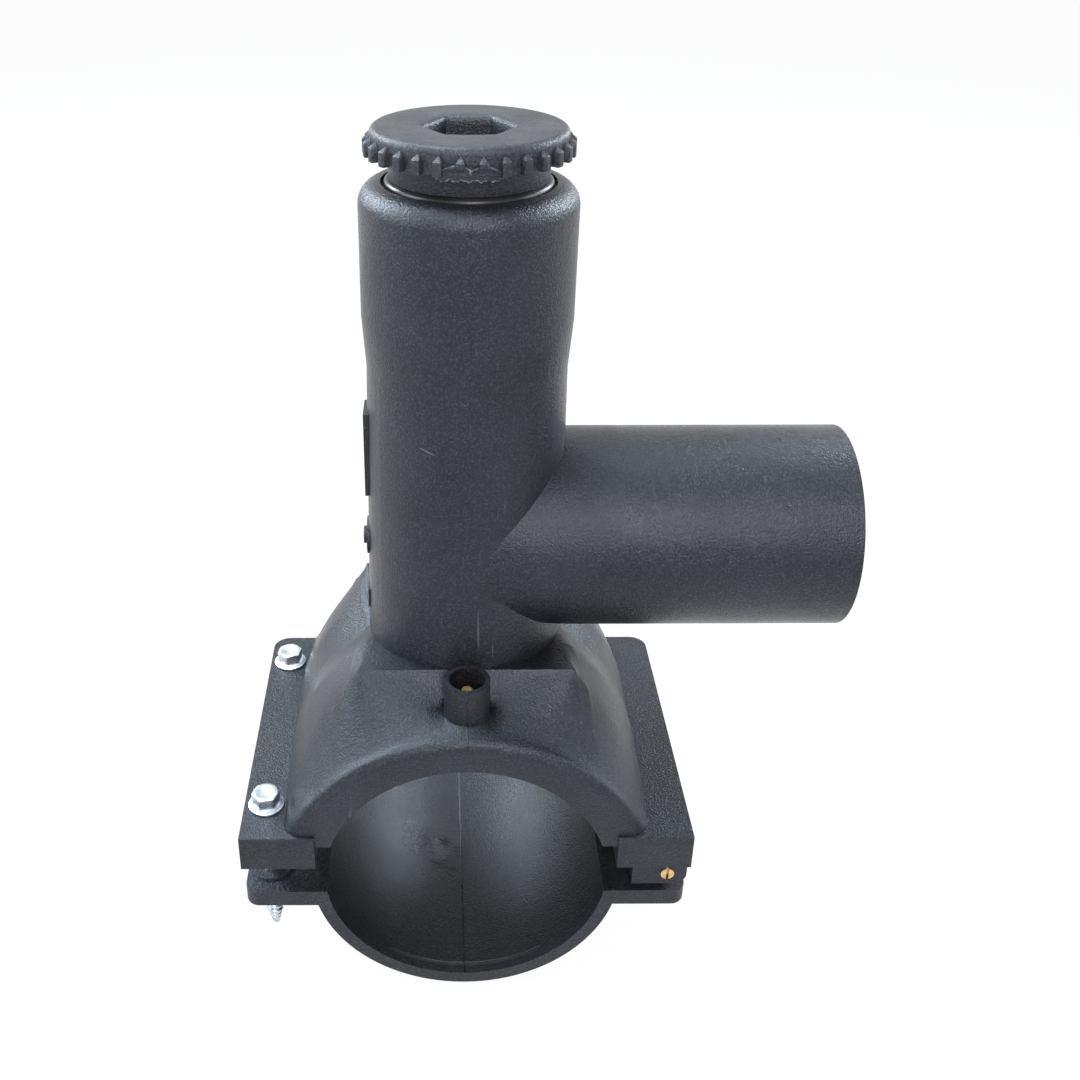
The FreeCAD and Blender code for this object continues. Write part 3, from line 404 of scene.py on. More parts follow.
def startPlastic(name, values):  # the gloss with its painted blue light tint, the grain and the scuffs of both kinds of plastic
    material, wires, shader, place = newMaterial(name)
    shader.inputs["Specular IOR Level"].default_value = values["specular"]
    # painted light: the gloss is tinted blue in place of bluer lamps
    shader.inputs["Specular Tint"].default_value = (*values["lampBlueGlossTint"], 1)
    grain = addGrain(wires, place, values, 0.9)
    marks = useGroup(wires, scuffs, Vector=place, Scale=values["scuffScale"], Amount=0.5)
    return material, wires, shader, place, grain, marks


def makePlastic(name, values, clampValues=None, scratchValues=None):
    material, wires, shader, place, grain, marks = startPlastic(name, values)
    spot = wires.split(place)
    outer = wires.ramp(spot["X"], values["spigotStart"] - 0.2 * mm, values["spigotStart"])
    spigot = wires.math("MULTIPLY", outer, wires.ramp(spot["Z"], *values["spigotAbove"]))
    side = wires.ramp(wires.math("ABSOLUTE", spot["X"]), *values["flangeBeyond"])
    flange = wires.math("MULTIPLY", side, wires.ramp(spot["Z"], *values["flangeBelow"], 1.0, 0.0))

    tone = wires.blend(grain["Patch"], values["dark"], values["light"])
    reach = values["seamWander"]
    wander = wires.math("MULTIPLY_ADD", wires.noise(place, 60.0), reach, -reach / 2)
    away = wires.math("ABSOLUTE", wires.math("ADD", spot["X"], wander))
    seam = wires.ramp(away, 0.0, values["seamWidth"], 1.0, 0.0)
    nicks = wires.math("MULTIPLY", seam, wires.ramp(wires.noise(place, 1100.0), 0.6, 0.68))
    specks = wires.math("MAXIMUM", wires.math("MULTIPLY", grain["Speck"], values["speckShare"]), nicks)
    tone = wires.blend(specks, tone, values["speck"])
    color = wires.blend(marks["Mask"], tone, values["scuff"])
    if scratchValues:
        color = addScratch(wires, spot, color, values["scuff"], scratchValues)
    wires.feed(shader.inputs["Base Color"], color)
    rough = wires.math("MULTIPLY_ADD", grain["Patch"], -0.1, values["roughness"] + 0.06)
    rough = wires.math("MULTIPLY_ADD", flange, 0.12, rough)
    rough = wires.math("MULTIPLY_ADD", spigot, -0.05, rough)
    wires.feed(shader.inputs["Roughness"], wires.math("MULTIPLY_ADD", marks["Mask"], 0.2, rough, clamp=True))

    normal = wires.bump(grain["Height"], values["grainDepth"], strength=0.8)
    lines = useGroup(wires, turnedLines, Along=spot["X"], Vector=place, Pitch=values["spigotPitch"])
    turned = wires.math("MULTIPLY", lines["Height"], spigot)
    normal = wires.bump(turned, values["spigotDepth"], normal)
    seam = wires.math("MULTIPLY", seam, wires.ramp(wires.noise(place, 90.0), 0.3, 0.6, 0.35, 1.0))
    normal = wires.bump(seam, values["seamDepth"], normal)
    flow = wires.noise(wires.stretch(place, (22.0, 40.0, 120.0), turn=(0.0, 0.65, 0.0)), 1.0, 4.0, 0.65)
    normal = wires.bump(flow, values["flowDepth"], normal, 0.35)
    if clampValues:
        normal = addClampMarks(wires, place, normal, clampValues)
    wires.feed(shader.inputs["Normal"], normal)
    return material


def makeCapPlastic(values):
    material, wires, shader, place, grain, marks = startPlastic("capPolyethylene", values)
    tone = wires.blend(grain["Patch"], values["dark"], values["light"])
    tone = wires.blend(wires.math("MULTIPLY", grain["Speck"], values["speckShare"]), tone, values["speck"])
    torn = wires.node("ShaderNodeAttribute", attribute_name="torn").outputs["Fac"]
    ragged = wires.math("MULTIPLY", torn, wires.ramp(wires.noise(place, 900.0, 3.0), 0.35, 0.6))
    tone = wires.blend(ragged, tone, values["torn"])
    wires.feed(shader.inputs["Base Color"], wires.blend(marks["Mask"], tone, values["torn"]))
    rough = wires.math("MULTIPLY_ADD", grain["Patch"], -0.12, values["roughness"] + 0.06)
    wires.feed(shader.inputs["Roughness"], rough)
    wires.feed(shader.inputs["Normal"], wires.bump(grain["Height"], values["grainDepth"]))
    return material


def makeMetal(name, values):  # zinc, brass, steel and wire share this build
    material, wires, shader, place = newMaterial(name)
    grain = addGrain(wires, place, values, 0.4)
    marks = useGroup(wires, scuffs, Vector=place, Scale=values["patches"] * 2, Amount=0.6)
    tone = wires.blend(grain["Patch"], values["dark"], values["light"])
    wires.feed(shader.inputs["Base Color"], wires.blend(marks["Mask"], tone, values["mark"]))
    rough = wires.math("MULTIPLY_ADD", grain["Patch"], values["spread"], values["roughness"])
    wires.feed(shader.inputs["Roughness"], wires.math("MULTIPLY_ADD", marks["Mask"], 0.15, rough, clamp=True))
    shader.inputs["Metallic"].default_value = 1.0
    normal = wires.bump(grain["Height"], values["depth"])
    if "pitch" in values:
        height = wires.split(place)["Z"]
        lines = useGroup(wires, turnedLines, Along=height, Vector=place, Pitch=values["pitch"])
        normal = wires.bump(lines["Height"], values["depth"] * 3, normal)
    wires.feed(shader.inputs["Normal"], normal)
    return material


def makeRubber(values):
    material, wires, shader, place = newMaterial("sealRubber")
    shader.inputs["Specular IOR Level"].default_value = values["specular"]
    grain = addGrain(wires, place, values, 0.3)
    wires.feed(shader.inputs["Base Color"], wires.blend(grain["Patch"], values["dark"], values["light"]))
    rough = wires.math("MULTIPLY_ADD", grain["Patch"], values["spread"], values["roughness"])
    wires.feed(shader.inputs["Roughness"], rough)
    wires.feed(shader.inputs["Normal"], wires.bump(grain["Height"], values["depth"]))
    return material


capPlastic = {
    "dark": (0.0060, 0.0062, 0.0075),
    "light": (0.0150, 0.0156, 0.0190),
    "speck": (0.070, 0.073, 0.085),
    "speckShare": 0.35,
    "torn": (0.17, 0.175, 0.19),
    "scuffScale": 95.0,
    "roughness": 0.44,
    "specular": 0.5,
    # painted light: a blue tint on its gloss, standing in for the blue of the studio light
    "lampBlueGlossTint": (0.82, 0.90, 1.0),
    "grain": 1300.0,
    "patches": 70.0,
    "grainDepth": 0.30 * mm,
}
rubber = {
    "dark": (0.008, 0.008, 0.009),
    "light": (0.016, 0.016, 0.018),
    "roughness": 0.24,
    "spread": 0.12,  # how far the roughness varies
    "specular": 0.3,
    "grain": 900.0,
    "patches": 60.0,
    "depth": 0.01 * mm,
}
metals = {
    "zincPlate": {"dark": (0.50, 0.58, 0.66), "light": (0.78, 0.82, 0.86), "mark": (0.33, 0.36, 0.42),
                  "roughness": 0.22, "spread": 0.14, "grain": 1900.0, "patches": 210.0, "depth": 0.012 * mm},
    "brassRod": {"dark": (0.62, 0.40, 0.16), "light": (0.86, 0.63, 0.31), "mark": (0.36, 0.22, 0.09),
                 "roughness": 0.26, "spread": 0.12, "grain": 2200.0, "patches": 260.0, "depth": 0.01 * mm},
    "turnedSteel": {"dark": (0.42, 0.42, 0.43), "light": (0.62, 0.62, 0.62), "mark": (0.28, 0.28, 0.29),
                    "roughness": 0.30, "spread": 0.12, "grain": 1500.0, "patches": 90.0, "depth": 0.012 * mm,
                    "pitch": 0.9 * mm},
    "heatingWire": {"dark": (0.50, 0.28, 0.17), "light": (0.74, 0.45, 0.29), "mark": (0.30, 0.16, 0.09),
                    "roughness": 0.32, "spread": 0.12, "grain": 2000.0, "patches": 160.0, "depth": 0.01 * mm},
}

bodyMaterial = makePlastic("blackPolyethylene", plastic, scratchValues=towerScratch)
clampMaterial = makePlastic("clampPolyethylene", plastic, clampValues=clampMarks)
capMaterial = makeCapPlastic(capPlastic)
rubberMaterial = makeRubber(rubber)
metalMaterials = {name: makeMetal(name, values) for name, values in metals.items()}
print("finishes ready")


def meshObject(name, points, faces):
    mesh = bpy.data.meshes.new(name)
    mesh.from_pydata([tuple(value * mm for value in point) for point in points], [], faces)
    obj = bpy.data.objects.new(name, mesh)
    bpy.context.scene.collection.objects.link(obj)
    return obj


def tidyMesh(obj, angle=32.0):  # merged points, outward faces, sharp edges kept
    mesh = obj.data
    work = bmesh.new()
    work.from_mesh(mesh)
    bmesh.ops.remove_doubles(work, verts=work.verts, dist=0.002 * mm)
    bmesh.ops.recalc_face_normals(work, faces=work.faces)
    work.to_mesh(mesh)
    work.free()
    for face in mesh.polygons:
        face.use_smooth = True
    mesh.set_sharp_from_angle(angle=math.radians(angle))
    return obj


def settle(obj, body, node, material):  # what every finished piece gets
    obj.data.materials.clear()
    obj.data.materials.append(material)
    for face in obj.data.polygons:
        face.material_index = 0
    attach(obj, body)
    if node:
        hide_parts(node)
    return obj


def bake(obj):  # the evaluated mesh becomes the object's own
    bpy.context.view_layer.update()
    graph = bpy.context.evaluated_depsgraph_get()
    mesh = bpy.data.meshes.new_from_object(obj.evaluated_get(graph), depsgraph=graph)
    obj.modifiers.clear()
    obj.data = mesh
    return obj


def bandFaces(levels, count):  # quads between rings of equal count
    faces = []
    for level in range(levels):
        for step in range(count):
            after = (step + 1) % count
            faces.append((level * count + step, level * count + after,
                          (level + 1) * count + after, (level + 1) * count + step))
    return faces


def ringShell(name, rings):  # closed surface through rings of equal count, with a pole at each end
    count = len(rings[0])
    points = [point for ring in rings for point in ring]
    faces = bandFaces(len(rings) - 1, count)
    for level in (0, len(rings) - 1):
        ring = rings[level]
        points.append(tuple(sum(point[axis] for point in ring) / count for axis in range(3)))
        pole = len(points) - 1
        for step in range(count):
            faces.append((pole, level * count + step, level * count + (step + 1) % count))
    return meshObject(name, points, faces)


def hexReach(across, angle):  # distance to a hexagon's side, with corners at multiples of 60 degrees
    return across / 2 / math.cos(angle % (math.pi / 3) - math.pi / 6)


def ringAt(count, centre, height, reach):  # reach is a number or a function of the angle
    made = []
    for step in range(count):
        angle = 2 * math.pi * step / count
        radius = reach(angle) if callable(reach) else reach
        made.append((centre[0] + radius * math.cos(angle), centre[1] + radius * math.sin(angle), height))
    return made


def turnedRings(centre, count, profile):  # one ring for each height and reach
    return [ringAt(count, centre, height, reach) for height, reach in profile]


def rounding(outer, top, radius, steps=5):  # points of an upper outer edge, from the flat to the wall
    made = []
    for step in range(steps + 1):
        angle = math.pi / 2 * step / steps
        made.append((outer - radius + radius * math.sin(angle), top - radius + radius * math.cos(angle)))
    return made


def newTree(name, inputs):  # a geometry tree with named inputs
    tree = bpy.data.node_groups.new(name, "GeometryNodeTree")
    face = tree.interface
    face.new_socket("Geometry", in_out="INPUT", socket_type="NodeSocketGeometry")
    for label, kind in inputs:
        face.new_socket(label, in_out="INPUT", socket_type="NodeSocket" + kind)
    face.new_socket("Geometry", in_out="OUTPUT", socket_type="NodeSocketGeometry")
    wires = Wiring(tree)
    return tree, wires, wires.node("NodeGroupInput").outputs


def endTree(wires, given, geometry):  # real geometry goes out in its finish
    real = wires.node("GeometryNodeRealizeInstances")
    wires.feed(real.inputs["Geometry"], geometry)
    finish = wires.node("GeometryNodeSetMaterial")
    wires.feed(finish.inputs["Geometry"], real.outputs["Geometry"])
    wires.feed(finish.inputs["Material"], given["Finish"])
    wires.feed(wires.node("NodeGroupOutput").inputs["Geometry"], finish.outputs["Geometry"])


def makeThreadTree(turnSteps=28, ridgeCorners=4):
    tree, wires, given = newTree("sweptThread", [
        ("Radius", "Float"), ("End Radius", "Float"), ("Pitch", "Float"), ("Length", "Float"),
        ("Depth", "Float"), ("Start", "Vector"), ("Finish", "Material")])
    spiral = wires.node("GeometryNodeCurveSpiral")
    spiral.inputs["Resolution"].default_value = turnSteps
    wires.feed(spiral.inputs["Rotations"], wires.math("DIVIDE", given["Length"], given["Pitch"]))
    wires.feed(spiral.inputs["Start Radius"], given["Radius"])
    wires.feed(spiral.inputs["End Radius"], given["End Radius"])
    wires.feed(spiral.inputs["Height"], given["Length"])
    upright = wires.node("GeometryNodeSetCurveNormal", mode="Z_UP")
    wires.feed(upright.inputs["Curve"], spiral.outputs["Curve"])
    ridge = wires.node("GeometryNodeCurvePrimitiveCircle", mode="RADIUS")
    ridge.inputs["Resolution"].default_value = ridgeCorners
    wires.feed(ridge.inputs["Radius"], given["Depth"])
    sweep = wires.node("GeometryNodeCurveToMesh")
    wires.feed(sweep.inputs["Curve"], upright.outputs["Curve"])
    wires.feed(sweep.inputs["Profile Curve"], ridge.outputs["Curve"])
    sweep.inputs["Fill Caps"].default_value = True
    move = wires.node("GeometryNodeTransform")
    wires.feed(move.inputs["Geometry"], sweep.outputs["Mesh"])
    wires.feed(move.inputs["Translation"], given["Start"])
    both = wires.node("GeometryNodeJoinGeometry")
    wires.feed(both.inputs[0], move.outputs["Geometry"])
    wires.feed(both.inputs[0], given["Geometry"])
    endTree(wires, given, both.outputs["Geometry"])
    return tree


def makeTeethTree(seed=5):
    tree, wires, given = newTree("gripTeeth", [
        ("Count", "Int"), ("First Cut", "Int"), ("Cut Teeth", "Int"), ("Unevenness", "Float"),
        ("Finish", "Material")])
    spots = wires.node("GeometryNodePoints")
    wires.feed(spots.inputs["Count"], given["Count"])
    number = wires.node("GeometryNodeInputIndex").outputs[0]
    past = wires.math("SUBTRACT", number, given["First Cut"])
    before = wires.math("LESS_THAN", past, -0.5)
    after = wires.math("GREATER_THAN", past, wires.math("SUBTRACT", given["Cut Teeth"], 0.5))
    angle = wires.math("DIVIDE", wires.math("MULTIPLY", number, 2 * math.pi), given["Count"])
    turn = wires.node("ShaderNodeCombineXYZ")
    wires.feed(turn.inputs["Z"], angle)
    drift = wires.node("FunctionNodeRandomValue", data_type="FLOAT")
    live = [socket for socket in drift.inputs if socket.enabled]
    next(socket for socket in live if socket.name == "Seed").default_value = seed
    lowest, highest = [socket for socket in live if socket.type == "VALUE"]
    lowest.default_value = 0.0
    highest.default_value = 1.0
    shrink = wires.math("MULTIPLY", next(out for out in drift.outputs if out.enabled), given["Unevenness"])
    scale = wires.node("ShaderNodeCombineXYZ")
    wires.feed(scale.inputs["X"], wires.math("SUBTRACT", 1.0, shrink))
    scale.inputs["Y"].default_value = 1.0
    scale.inputs["Z"].default_value = 1.0
    place = wires.node("GeometryNodeInstanceOnPoints")
    wires.feed(place.inputs["Points"], spots.outputs[0])
    wires.feed(place.inputs["Selection"], wires.math("ADD", before, after, clamp=True))
    wires.feed(place.inputs["Instance"], given["Geometry"])
    wires.feed(place.inputs["Rotation"], turn.outputs[0])
    wires.feed(place.inputs["Scale"], scale.outputs[0])
    endTree(wires, given, place.outputs["Instances"])
    return tree


def setInputs(modifier, values):  # named inputs, set by the socket's identifier
    for item in modifier.node_group.interface.items_tree:
        if item.item_type == "SOCKET" and item.in_out == "INPUT" and item.name in values:
            modifier[item.identifier] = values[item.name]


def join(parts, name):  # one object from several meshes
    work = bmesh.new()
    for part in parts:
        work.from_mesh(part.data)
    mesh = bpy.data.meshes.new(name)
    work.to_mesh(mesh)
    work.free()
    for part in parts:
        bpy.data.objects.remove(part)
    obj = bpy.data.objects.new(name, mesh)
    bpy.context.scene.collection.objects.link(obj)
    return obj


threadTree = makeThreadTree()
teethTree = makeTeethTree()


def threaded(obj, radius, endRadius, pitch, length, depth, start, material):
    modifier = obj.modifiers.new("thread", "NODES")
    modifier.node_group = threadTree
    setInputs(modifier, {"Radius": radius * mm, "End Radius": endRadius * mm, "Pitch": pitch * mm,
                         "Length": length * mm, "Depth": depth * mm,
                         "Start": [value * mm for value in start], "Finish": material})
    return obj


moulding = {
    "bevel": {"saddle_body": 0.55, "lower_clamp": 0.5},  # softened edges, mm
    "bevelSteps": 3,
    "bevelFrom": 33.0,  # degrees between faces
    "mergeWithin": 0.003,  # mm
    "flatWithin": 0.3,  # faces that meet at less are one, degrees
}
shoulder = {
    "inside": 52.0,  # only the saddle's back is eased, outside this radius about the main's axis, mm
    "foot": (19.6, 24.0),  # heights over which the easing sets in
    "top": 67.15,
    "ledge": (31.7, 34.0),  # the same along the main, from the tower's axis
    "rim": (51.5, 47.5),
    "corner": (27.0, 35.0),  # the ledge's two ends are eased from here outwards
    "cornerBack": (14.0, 24.0),
    "collar": 39.6,  # the terminal collars' place along the main
    "collarWall": 7.4,  # a point nearer to a collar's axis than this only slides upwards
    "collarFade": (7.3, 13.0),  # distances from a collar's axis over which the easing sets in
    "tower": 31.5,
    "cell": 3.0,  # longest edge there
    "cuts": 6,  # rounds of halving, at most
    "passes": 150,
    "pull": 0.6,  # share of the way to the middle of its neighbours that a point goes in a pass
    "normalsEvery": 5,  # passes
}


def fade(value, start, end):  # 0 to 1, eased at both ends
    share = min(max((value - start) / (end - start), 0.0), 1.0)
    return share * share * (3 - 2 * share)


def easeAmount(point, values):
    x, y, z = (abs(value) / mm for value in point)
    if point.z < 0 or z > values["top"] or math.hypot(x, z) < values["inside"] or y > values["rim"][0]:
        return 0.0
    if math.hypot(x, y) < values["tower"]:
        return 0.0
    front = fade(y, *values["ledge"])
    corner = fade(x, *values["corner"]) * fade(y, *values["cornerBack"])
    around = fade(collarReach(point, values), *values["collarFade"])
    return max(front, corner) * around * fade(z, *values["foot"]) * fade(y, *values["rim"])


def collarReach(point, values):
    return math.hypot(point.x, abs(point.y) - values["collar"] * mm) / mm


def easedFace(face, values):  # a collar's own wall stays as it is
    if all(collarReach(vert.co, values) < values["collarWall"] for vert in face.verts):
        return False
    spots = [vert.co for vert in face.verts] + [face.calc_center_median()]
    return any(easeAmount(spot, values) > 0 for spot in spots)


def easeShoulder(mesh, values):  # the shoulder's corners flow into the saddle's back as they do in the mould
    work = bmesh.new()
    work.from_mesh(mesh)
    for cut in range(values["cuts"]):
        bmesh.ops.triangulate(work, faces=[face for face in work.faces if easedFace(face, values)])
        long = {edge for face in work.faces if easedFace(face, values) for edge in face.edges
                if edge.calc_length() > values["cell"] * mm}
        if not long:
            break
        bmesh.ops.subdivide_edges(work, edges=list(long), cuts=1)
    moving = []
    for vert in work.verts:
        amount = easeAmount(vert.co, values) * values["pull"]
        near = [edge.other_vert(vert) for edge in vert.link_edges]
        onWall = collarReach(vert.co, values) < values["collarWall"]
        if onWall:
            near = [other for other in near if collarReach(other.co, values) > values["collarWall"]]
        if amount > 0 and near:
            moving.append((vert, amount, near, onWall))
    for turn in range(values["passes"]):
        if turn % values["normalsEvery"] == 0:
            work.normal_update()
        steps = []
        for vert, amount, near, onWall in moving:
            away = sum((other.co for other in near), Vector()) / len(near) - vert.co
            if onWall:
                steps.append(Vector((0, 0, away.z * amount)))
            else:
                steps.append(vert.normal * away.dot(vert.normal) * amount)
        for (vert, amount, near, onWall), step in zip(moving, steps):
            vert.co += step
    work.to_mesh(mesh)
    work.free()
    print("shoulder eased:", len(moving), "points")


def softCopy(name, values, body, material):  # the CAD shape with its mould-soft edges
    mesh = nodes[name].data.copy()
    obj = bpy.data.objects.new(name + "Moulded", mesh)
    bpy.context.scene.collection.objects.link(obj)
    work = bmesh.new()
    work.from_mesh(mesh)
    bmesh.ops.remove_doubles(work, verts=work.verts, dist=values["mergeWithin"] * mm)
    bmesh.ops.dissolve_limit(work, angle_limit=math.radians(values["flatWithin"]), verts=work.verts,
                             edges=work.edges)
    work.to_mesh(mesh)
    work.free()
    if name == "saddle_body":
        easeShoulder(mesh, shoulder)
    for face in mesh.polygons:
        face.use_smooth = True
    mesh.set_sharp_from_angle(angle=math.radians(values["bevelFrom"]))
    bevel = obj.modifiers.new("softEdges", "BEVEL")
    bevel.width = values["bevel"][name] * mm
    bevel.segments = values["bevelSteps"]
    bevel.limit_method = "ANGLE"
    bevel.angle_limit = math.radians(values["bevelFrom"])
    bevel.use_clamp_overlap = True
    bevel.miter_outer = "MITER_ARC"
    bake(obj)
    even = obj.modifiers.new("evenShading", "WEIGHTED_NORMAL")  # flat faces stay flat beside soft edges
    even.keep_sharp = True
    bake(obj)
    return settle(obj, body, name, material)


softCopy("saddle_body", moulding, "saddle", bodyMaterial)
softCopy("lower_clamp", moulding, "clamp", clampMaterial)
print("mouldings ready")

cap = {  # mm, heights above the main's axis
    "top": 225.9,
    "disc": 7.3,  # its thickness
    "radius": 27.3,
    "edge": 1.9,
    "socket": 21.6,  # across flats
    "socketDepth": 13.0,
    "socketLip": 1.5,  # soft mouth round the socket
    "floor": 4.0,  # thickness under the socket
    "neck": 22.4,
    "neckBottom": 211.9,
    "groove": 20.55,
    "grooveBottom": 209.0,
    "plug": 20.65,
    "plugCore": 19.5,
    "plugTop": 208.4,
    "plugBottom": 190.8,
    "plugBore": 16.65,
    "threadPitch": 4.0,
    "threadLength": 14.0,
    "threadStart": 1.8,  # above the plug's bottom
    "threadRoom": 0.05,
    "teeth": 30,
    "toothWidth": 2.5,
    "toothRoot": 0.9,  # how deep a tooth starts inside the disc
    "toothBody": 3.8,
    "toothPoint": 1.5,
    "toothOut": 1.9,
    "toothCorner": 0.35,
    "toothWear": 0.004,  # how unevenly they stand out
    "cutTeeth": (22, 2),  # first tooth that the trimmed gate cut, and how many
    "cutHeight": 2.4,
    "steps": 192,
}
gateScar = {  # two scooped lobes with a torn rim under the disc, where the gate was trimmed, mm
    "lobes": [(-3.8, 5.4, 4.4), (3.2, 5.0, 4.2)],  # middle, half width, height
    "low": 217.2,
    "left": -9.3,
    "width": 17.6,
    "least": 0.25,  # height beside the lobes
    "outside": (26.4, 0.52),  # reach at the lower edge, and its growth with the height
    "inside": (21.6, 0.75),
    "scoop": 0.35,
    "valley": -0.4,  # between the lobes
    "rough": (0.05, 0.04),  # outwards and upwards
    "tornWidth": 0.45,
    "columns": 64,
    "rows": 14,
    "seed": 11,
}


def toothMesh(values, cutHeight=0.0):
    radius = values["radius"]
    out = radius + values["toothOut"]
    inner = radius - values["toothRoot"]
    half = values["toothWidth"] / 2
    bottom = values["top"] - values["disc"] + cutHeight
    top = values["top"] - values["disc"] + values["toothBody"]
    corner = values["toothCorner"]
    shape = [(inner, -half), (out - corner, -half), (out - 0.1, -half + 0.12), (out, -half + corner),
             (out, half - corner), (out - 0.1, half - 0.12), (out - corner, half), (inner, half)]
    points = [(x - 0.12 if x > inner else x, y * 0.93, bottom) for x, y in shape]
    points += [(x, y, bottom + 0.2) for x, y in shape]
    points += [(x, y, top - 0.1) for x, y in shape]
    points += [(x - 0.25 if x > inner else x, y * 0.9, top + 0.12) for x, y in shape]
    points.append((radius - 0.15, 0.0, top + values["toothPoint"]))
    count = len(shape)
    faces = [tuple(range(count))] + bandFaces(3, count)
    for step in range(count):
        faces.append((3 * count + step, 3 * count + (step + 1) % count, 4 * count))
    return points, faces


def gateMesh(values):
    columns, rows, low = values["columns"], values["rows"], values["low"]
    rng = random.Random(values["seed"])
    points, weights = [], []
    for outer in (True, False):
        foot, growth = values["outside"] if outer else values["inside"]
        for row in range(rows + 1):
            part = row / rows
            for column in range(columns + 1):
                x = values["left"] + values["width"] * column / columns
                away = [((x - centre) / half) ** 2 for centre, half, height in values["lobes"]]
                tall = max([values["least"]] + [lobe[2] * math.sqrt(1 - share)
                                                for lobe, share in zip(values["lobes"], away) if share < 1])
                ragged = 0.3 * math.sin(1.9 * x) + 0.2 * math.sin(4.3 * x + 1)  # along its lower edge
                z = low + tall * part + ragged * (1 - part)
                out = foot + (z - low) * growth
                if outer:
                    out -= values["scoop"] * math.sin(math.pi * part) * (1 - min(away + [1.0]))
                    out += rng.uniform(-values["rough"][0], values["rough"][0])
                    z += rng.uniform(-values["rough"][1], values["rough"][1])
                points.append((x, -math.sqrt(out * out - x * x), z))
                ends = min(column, columns - column) * values["width"] / columns
                close = min(part * tall, (1 - part) * tall, ends)
                if part > 0.5:
                    close = min(close, abs(x - values["valley"]))
                weights.append(max(0.0, 1 - close / values["tornWidth"]) if outer else 0.0)
    width = columns + 1
    layer = (rows + 1) * width
    faces = []
    for row in range(rows):
        for column in range(columns):
            a = row * width + column
            faces.append((a, a + 1, a + width + 1, a + width))
            faces.append((layer + a, layer + a + width, layer + a + width + 1, layer + a + 1))
    edge = list(range(width))
    edge += [row * width + columns for row in range(1, rows + 1)]
    edge += [rows * width + column for column in range(columns - 1, -1, -1)]
    edge += [row * width for row in range(rows - 1, 0, -1)]
    for number, here in enumerate(edge):
        after = edge[(number + 1) % len(edge)]
        faces.append((here, layer + here, layer + after, after))
    return points, faces, weights


def buildCap(values, scarValues):
    top = values["top"]
    under = top - values["disc"]
    radius = values["radius"]
    lip = values["socketLip"]
    across = values["socket"]
    neck = values["neck"]
    neckBottom = values["neckBottom"]
    core = values["plugCore"]
    bore = values["plugBore"]
    bottom = values["plugBottom"]
    floor = top - values["socketDepth"]
    ceiling = floor - values["floor"]

    def nearHex(extra, soften):  # a hexagon that grows into a circle
        circle = across / math.sqrt(3) + extra
        return lambda angle: (hexReach(across, angle) + extra) * (1 - soften) + circle * soften

    profile = [(floor, nearHex(-4.0, 0.0)), (floor, nearHex(-0.3, 0.0)), (floor + 0.3, nearHex(0, 0)),
               (top - lip * 2, nearHex(0, 0)), (top - lip * 0.95, nearHex(0, 0)),
               (top - lip * 0.6, nearHex(0.12, 0.02)), (top - lip * 0.28, nearHex(0.42, 0.08)),
               (top - lip * 0.08, nearHex(0.95, 0.16)), (top, nearHex(1.7, 0.3)), (top, nearHex(4.5, 0.7)),
               (top, radius - values["edge"] - 3.0)]
    profile += [(height, reach) for reach, height in rounding(radius, top, values["edge"], 7)]
    profile += [(under + 0.5, radius), (under + 0.12, radius - 0.12), (under, radius - 0.5),
                (under, neck + 0.9), (under - 0.25, neck + 0.25), (under - 0.9, neck),
                (neckBottom + 0.4, neck), (neckBottom + 0.1, neck - 0.1), (neckBottom, neck - 0.4),
                (neckBottom, values["groove"]), (values["grooveBottom"], values["groove"]),
                (values["plugTop"], core), (bottom + 1.2, core), (bottom, core - 1.0), (bottom, bore),
                (ceiling - 0.6, bore), (ceiling, bore - 0.6)]
    body = tidyMesh(ringShell("capBody", turnedRings((0, 0), values["steps"], profile)))
    depth = values["plug"] - core - values["threadRoom"]
    threaded(body, core, core, values["threadPitch"], values["threadLength"], depth,
             (0, 0, bottom + values["threadStart"]), capMaterial)
    bake(body)

    teeth = tidyMesh(meshObject("capTeeth", *toothMesh(values)))
    modifier = teeth.modifiers.new("teeth", "NODES")
    modifier.node_group = teethTree
    first, cut = values["cutTeeth"]
    setInputs(modifier, {"Count": values["teeth"], "First Cut": first, "Cut Teeth": cut,
                         "Unevenness": values["toothWear"], "Finish": capMaterial})
    bake(teeth)

    parts = [body, teeth]
    for number in range(cut):
        stub = meshObject("capToothStub", *toothMesh(values, values["cutHeight"]))
        stub.data.transform(Matrix.Rotation(2 * math.pi * (first + number) / values["teeth"], 4, "Z"))
        parts.append(tidyMesh(stub))
    for part in parts:
        part.data.attributes.new("torn", "FLOAT", "POINT")
    points, faces, weights = gateMesh(scarValues)
    gate = meshObject("gate", points, faces)
    gate.data.attributes.new("torn", "FLOAT", "POINT").data.foreach_set("value", weights)
    work = bmesh.new()
    work.from_mesh(gate.data)
    bmesh.ops.recalc_face_normals(work, faces=work.faces)
    work.to_mesh(gate.data)
    work.free()
    gate.data.set_sharp_from_angle(angle=math.radians(45))
    parts.append(gate)
    whole = join(parts, "capGrip")
    for face in whole.data.polygons:
        face.use_smooth = True
    return settle(whole, "cap", "cap", capMaterial)


buildCap(cap, gateScar)
print("cap ready")

screw = {  # mm, heights from the underside of its collar
    "places": {"clamp_screw_front": ("screw_front", -38.1), "clamp_screw_rear": ("screw_rear", 38.1)},
    "x": -64.0,
    "seat": 19.1,  # that underside above the main's axis
    "length": 53.0,
    "tip": 7.0,
    "tipStart": 1.2,  # its thread begins so far above the point
    "tipCore": 0.75,
    "tipDepth": 0.5,
    "core": 2.15,
    "radius": 2.75,
    "pitch": 1.8,
    "shank": 4.0,  # bare under the collar
    "collar": 5.8,
    "head": 5.4,
    "across": 8.0,
    "turn": {"clamp_screw_front": 12.0, "clamp_screw_rear": 21.0},  # how the hexagons stand, degrees
    "steps": 48,
}


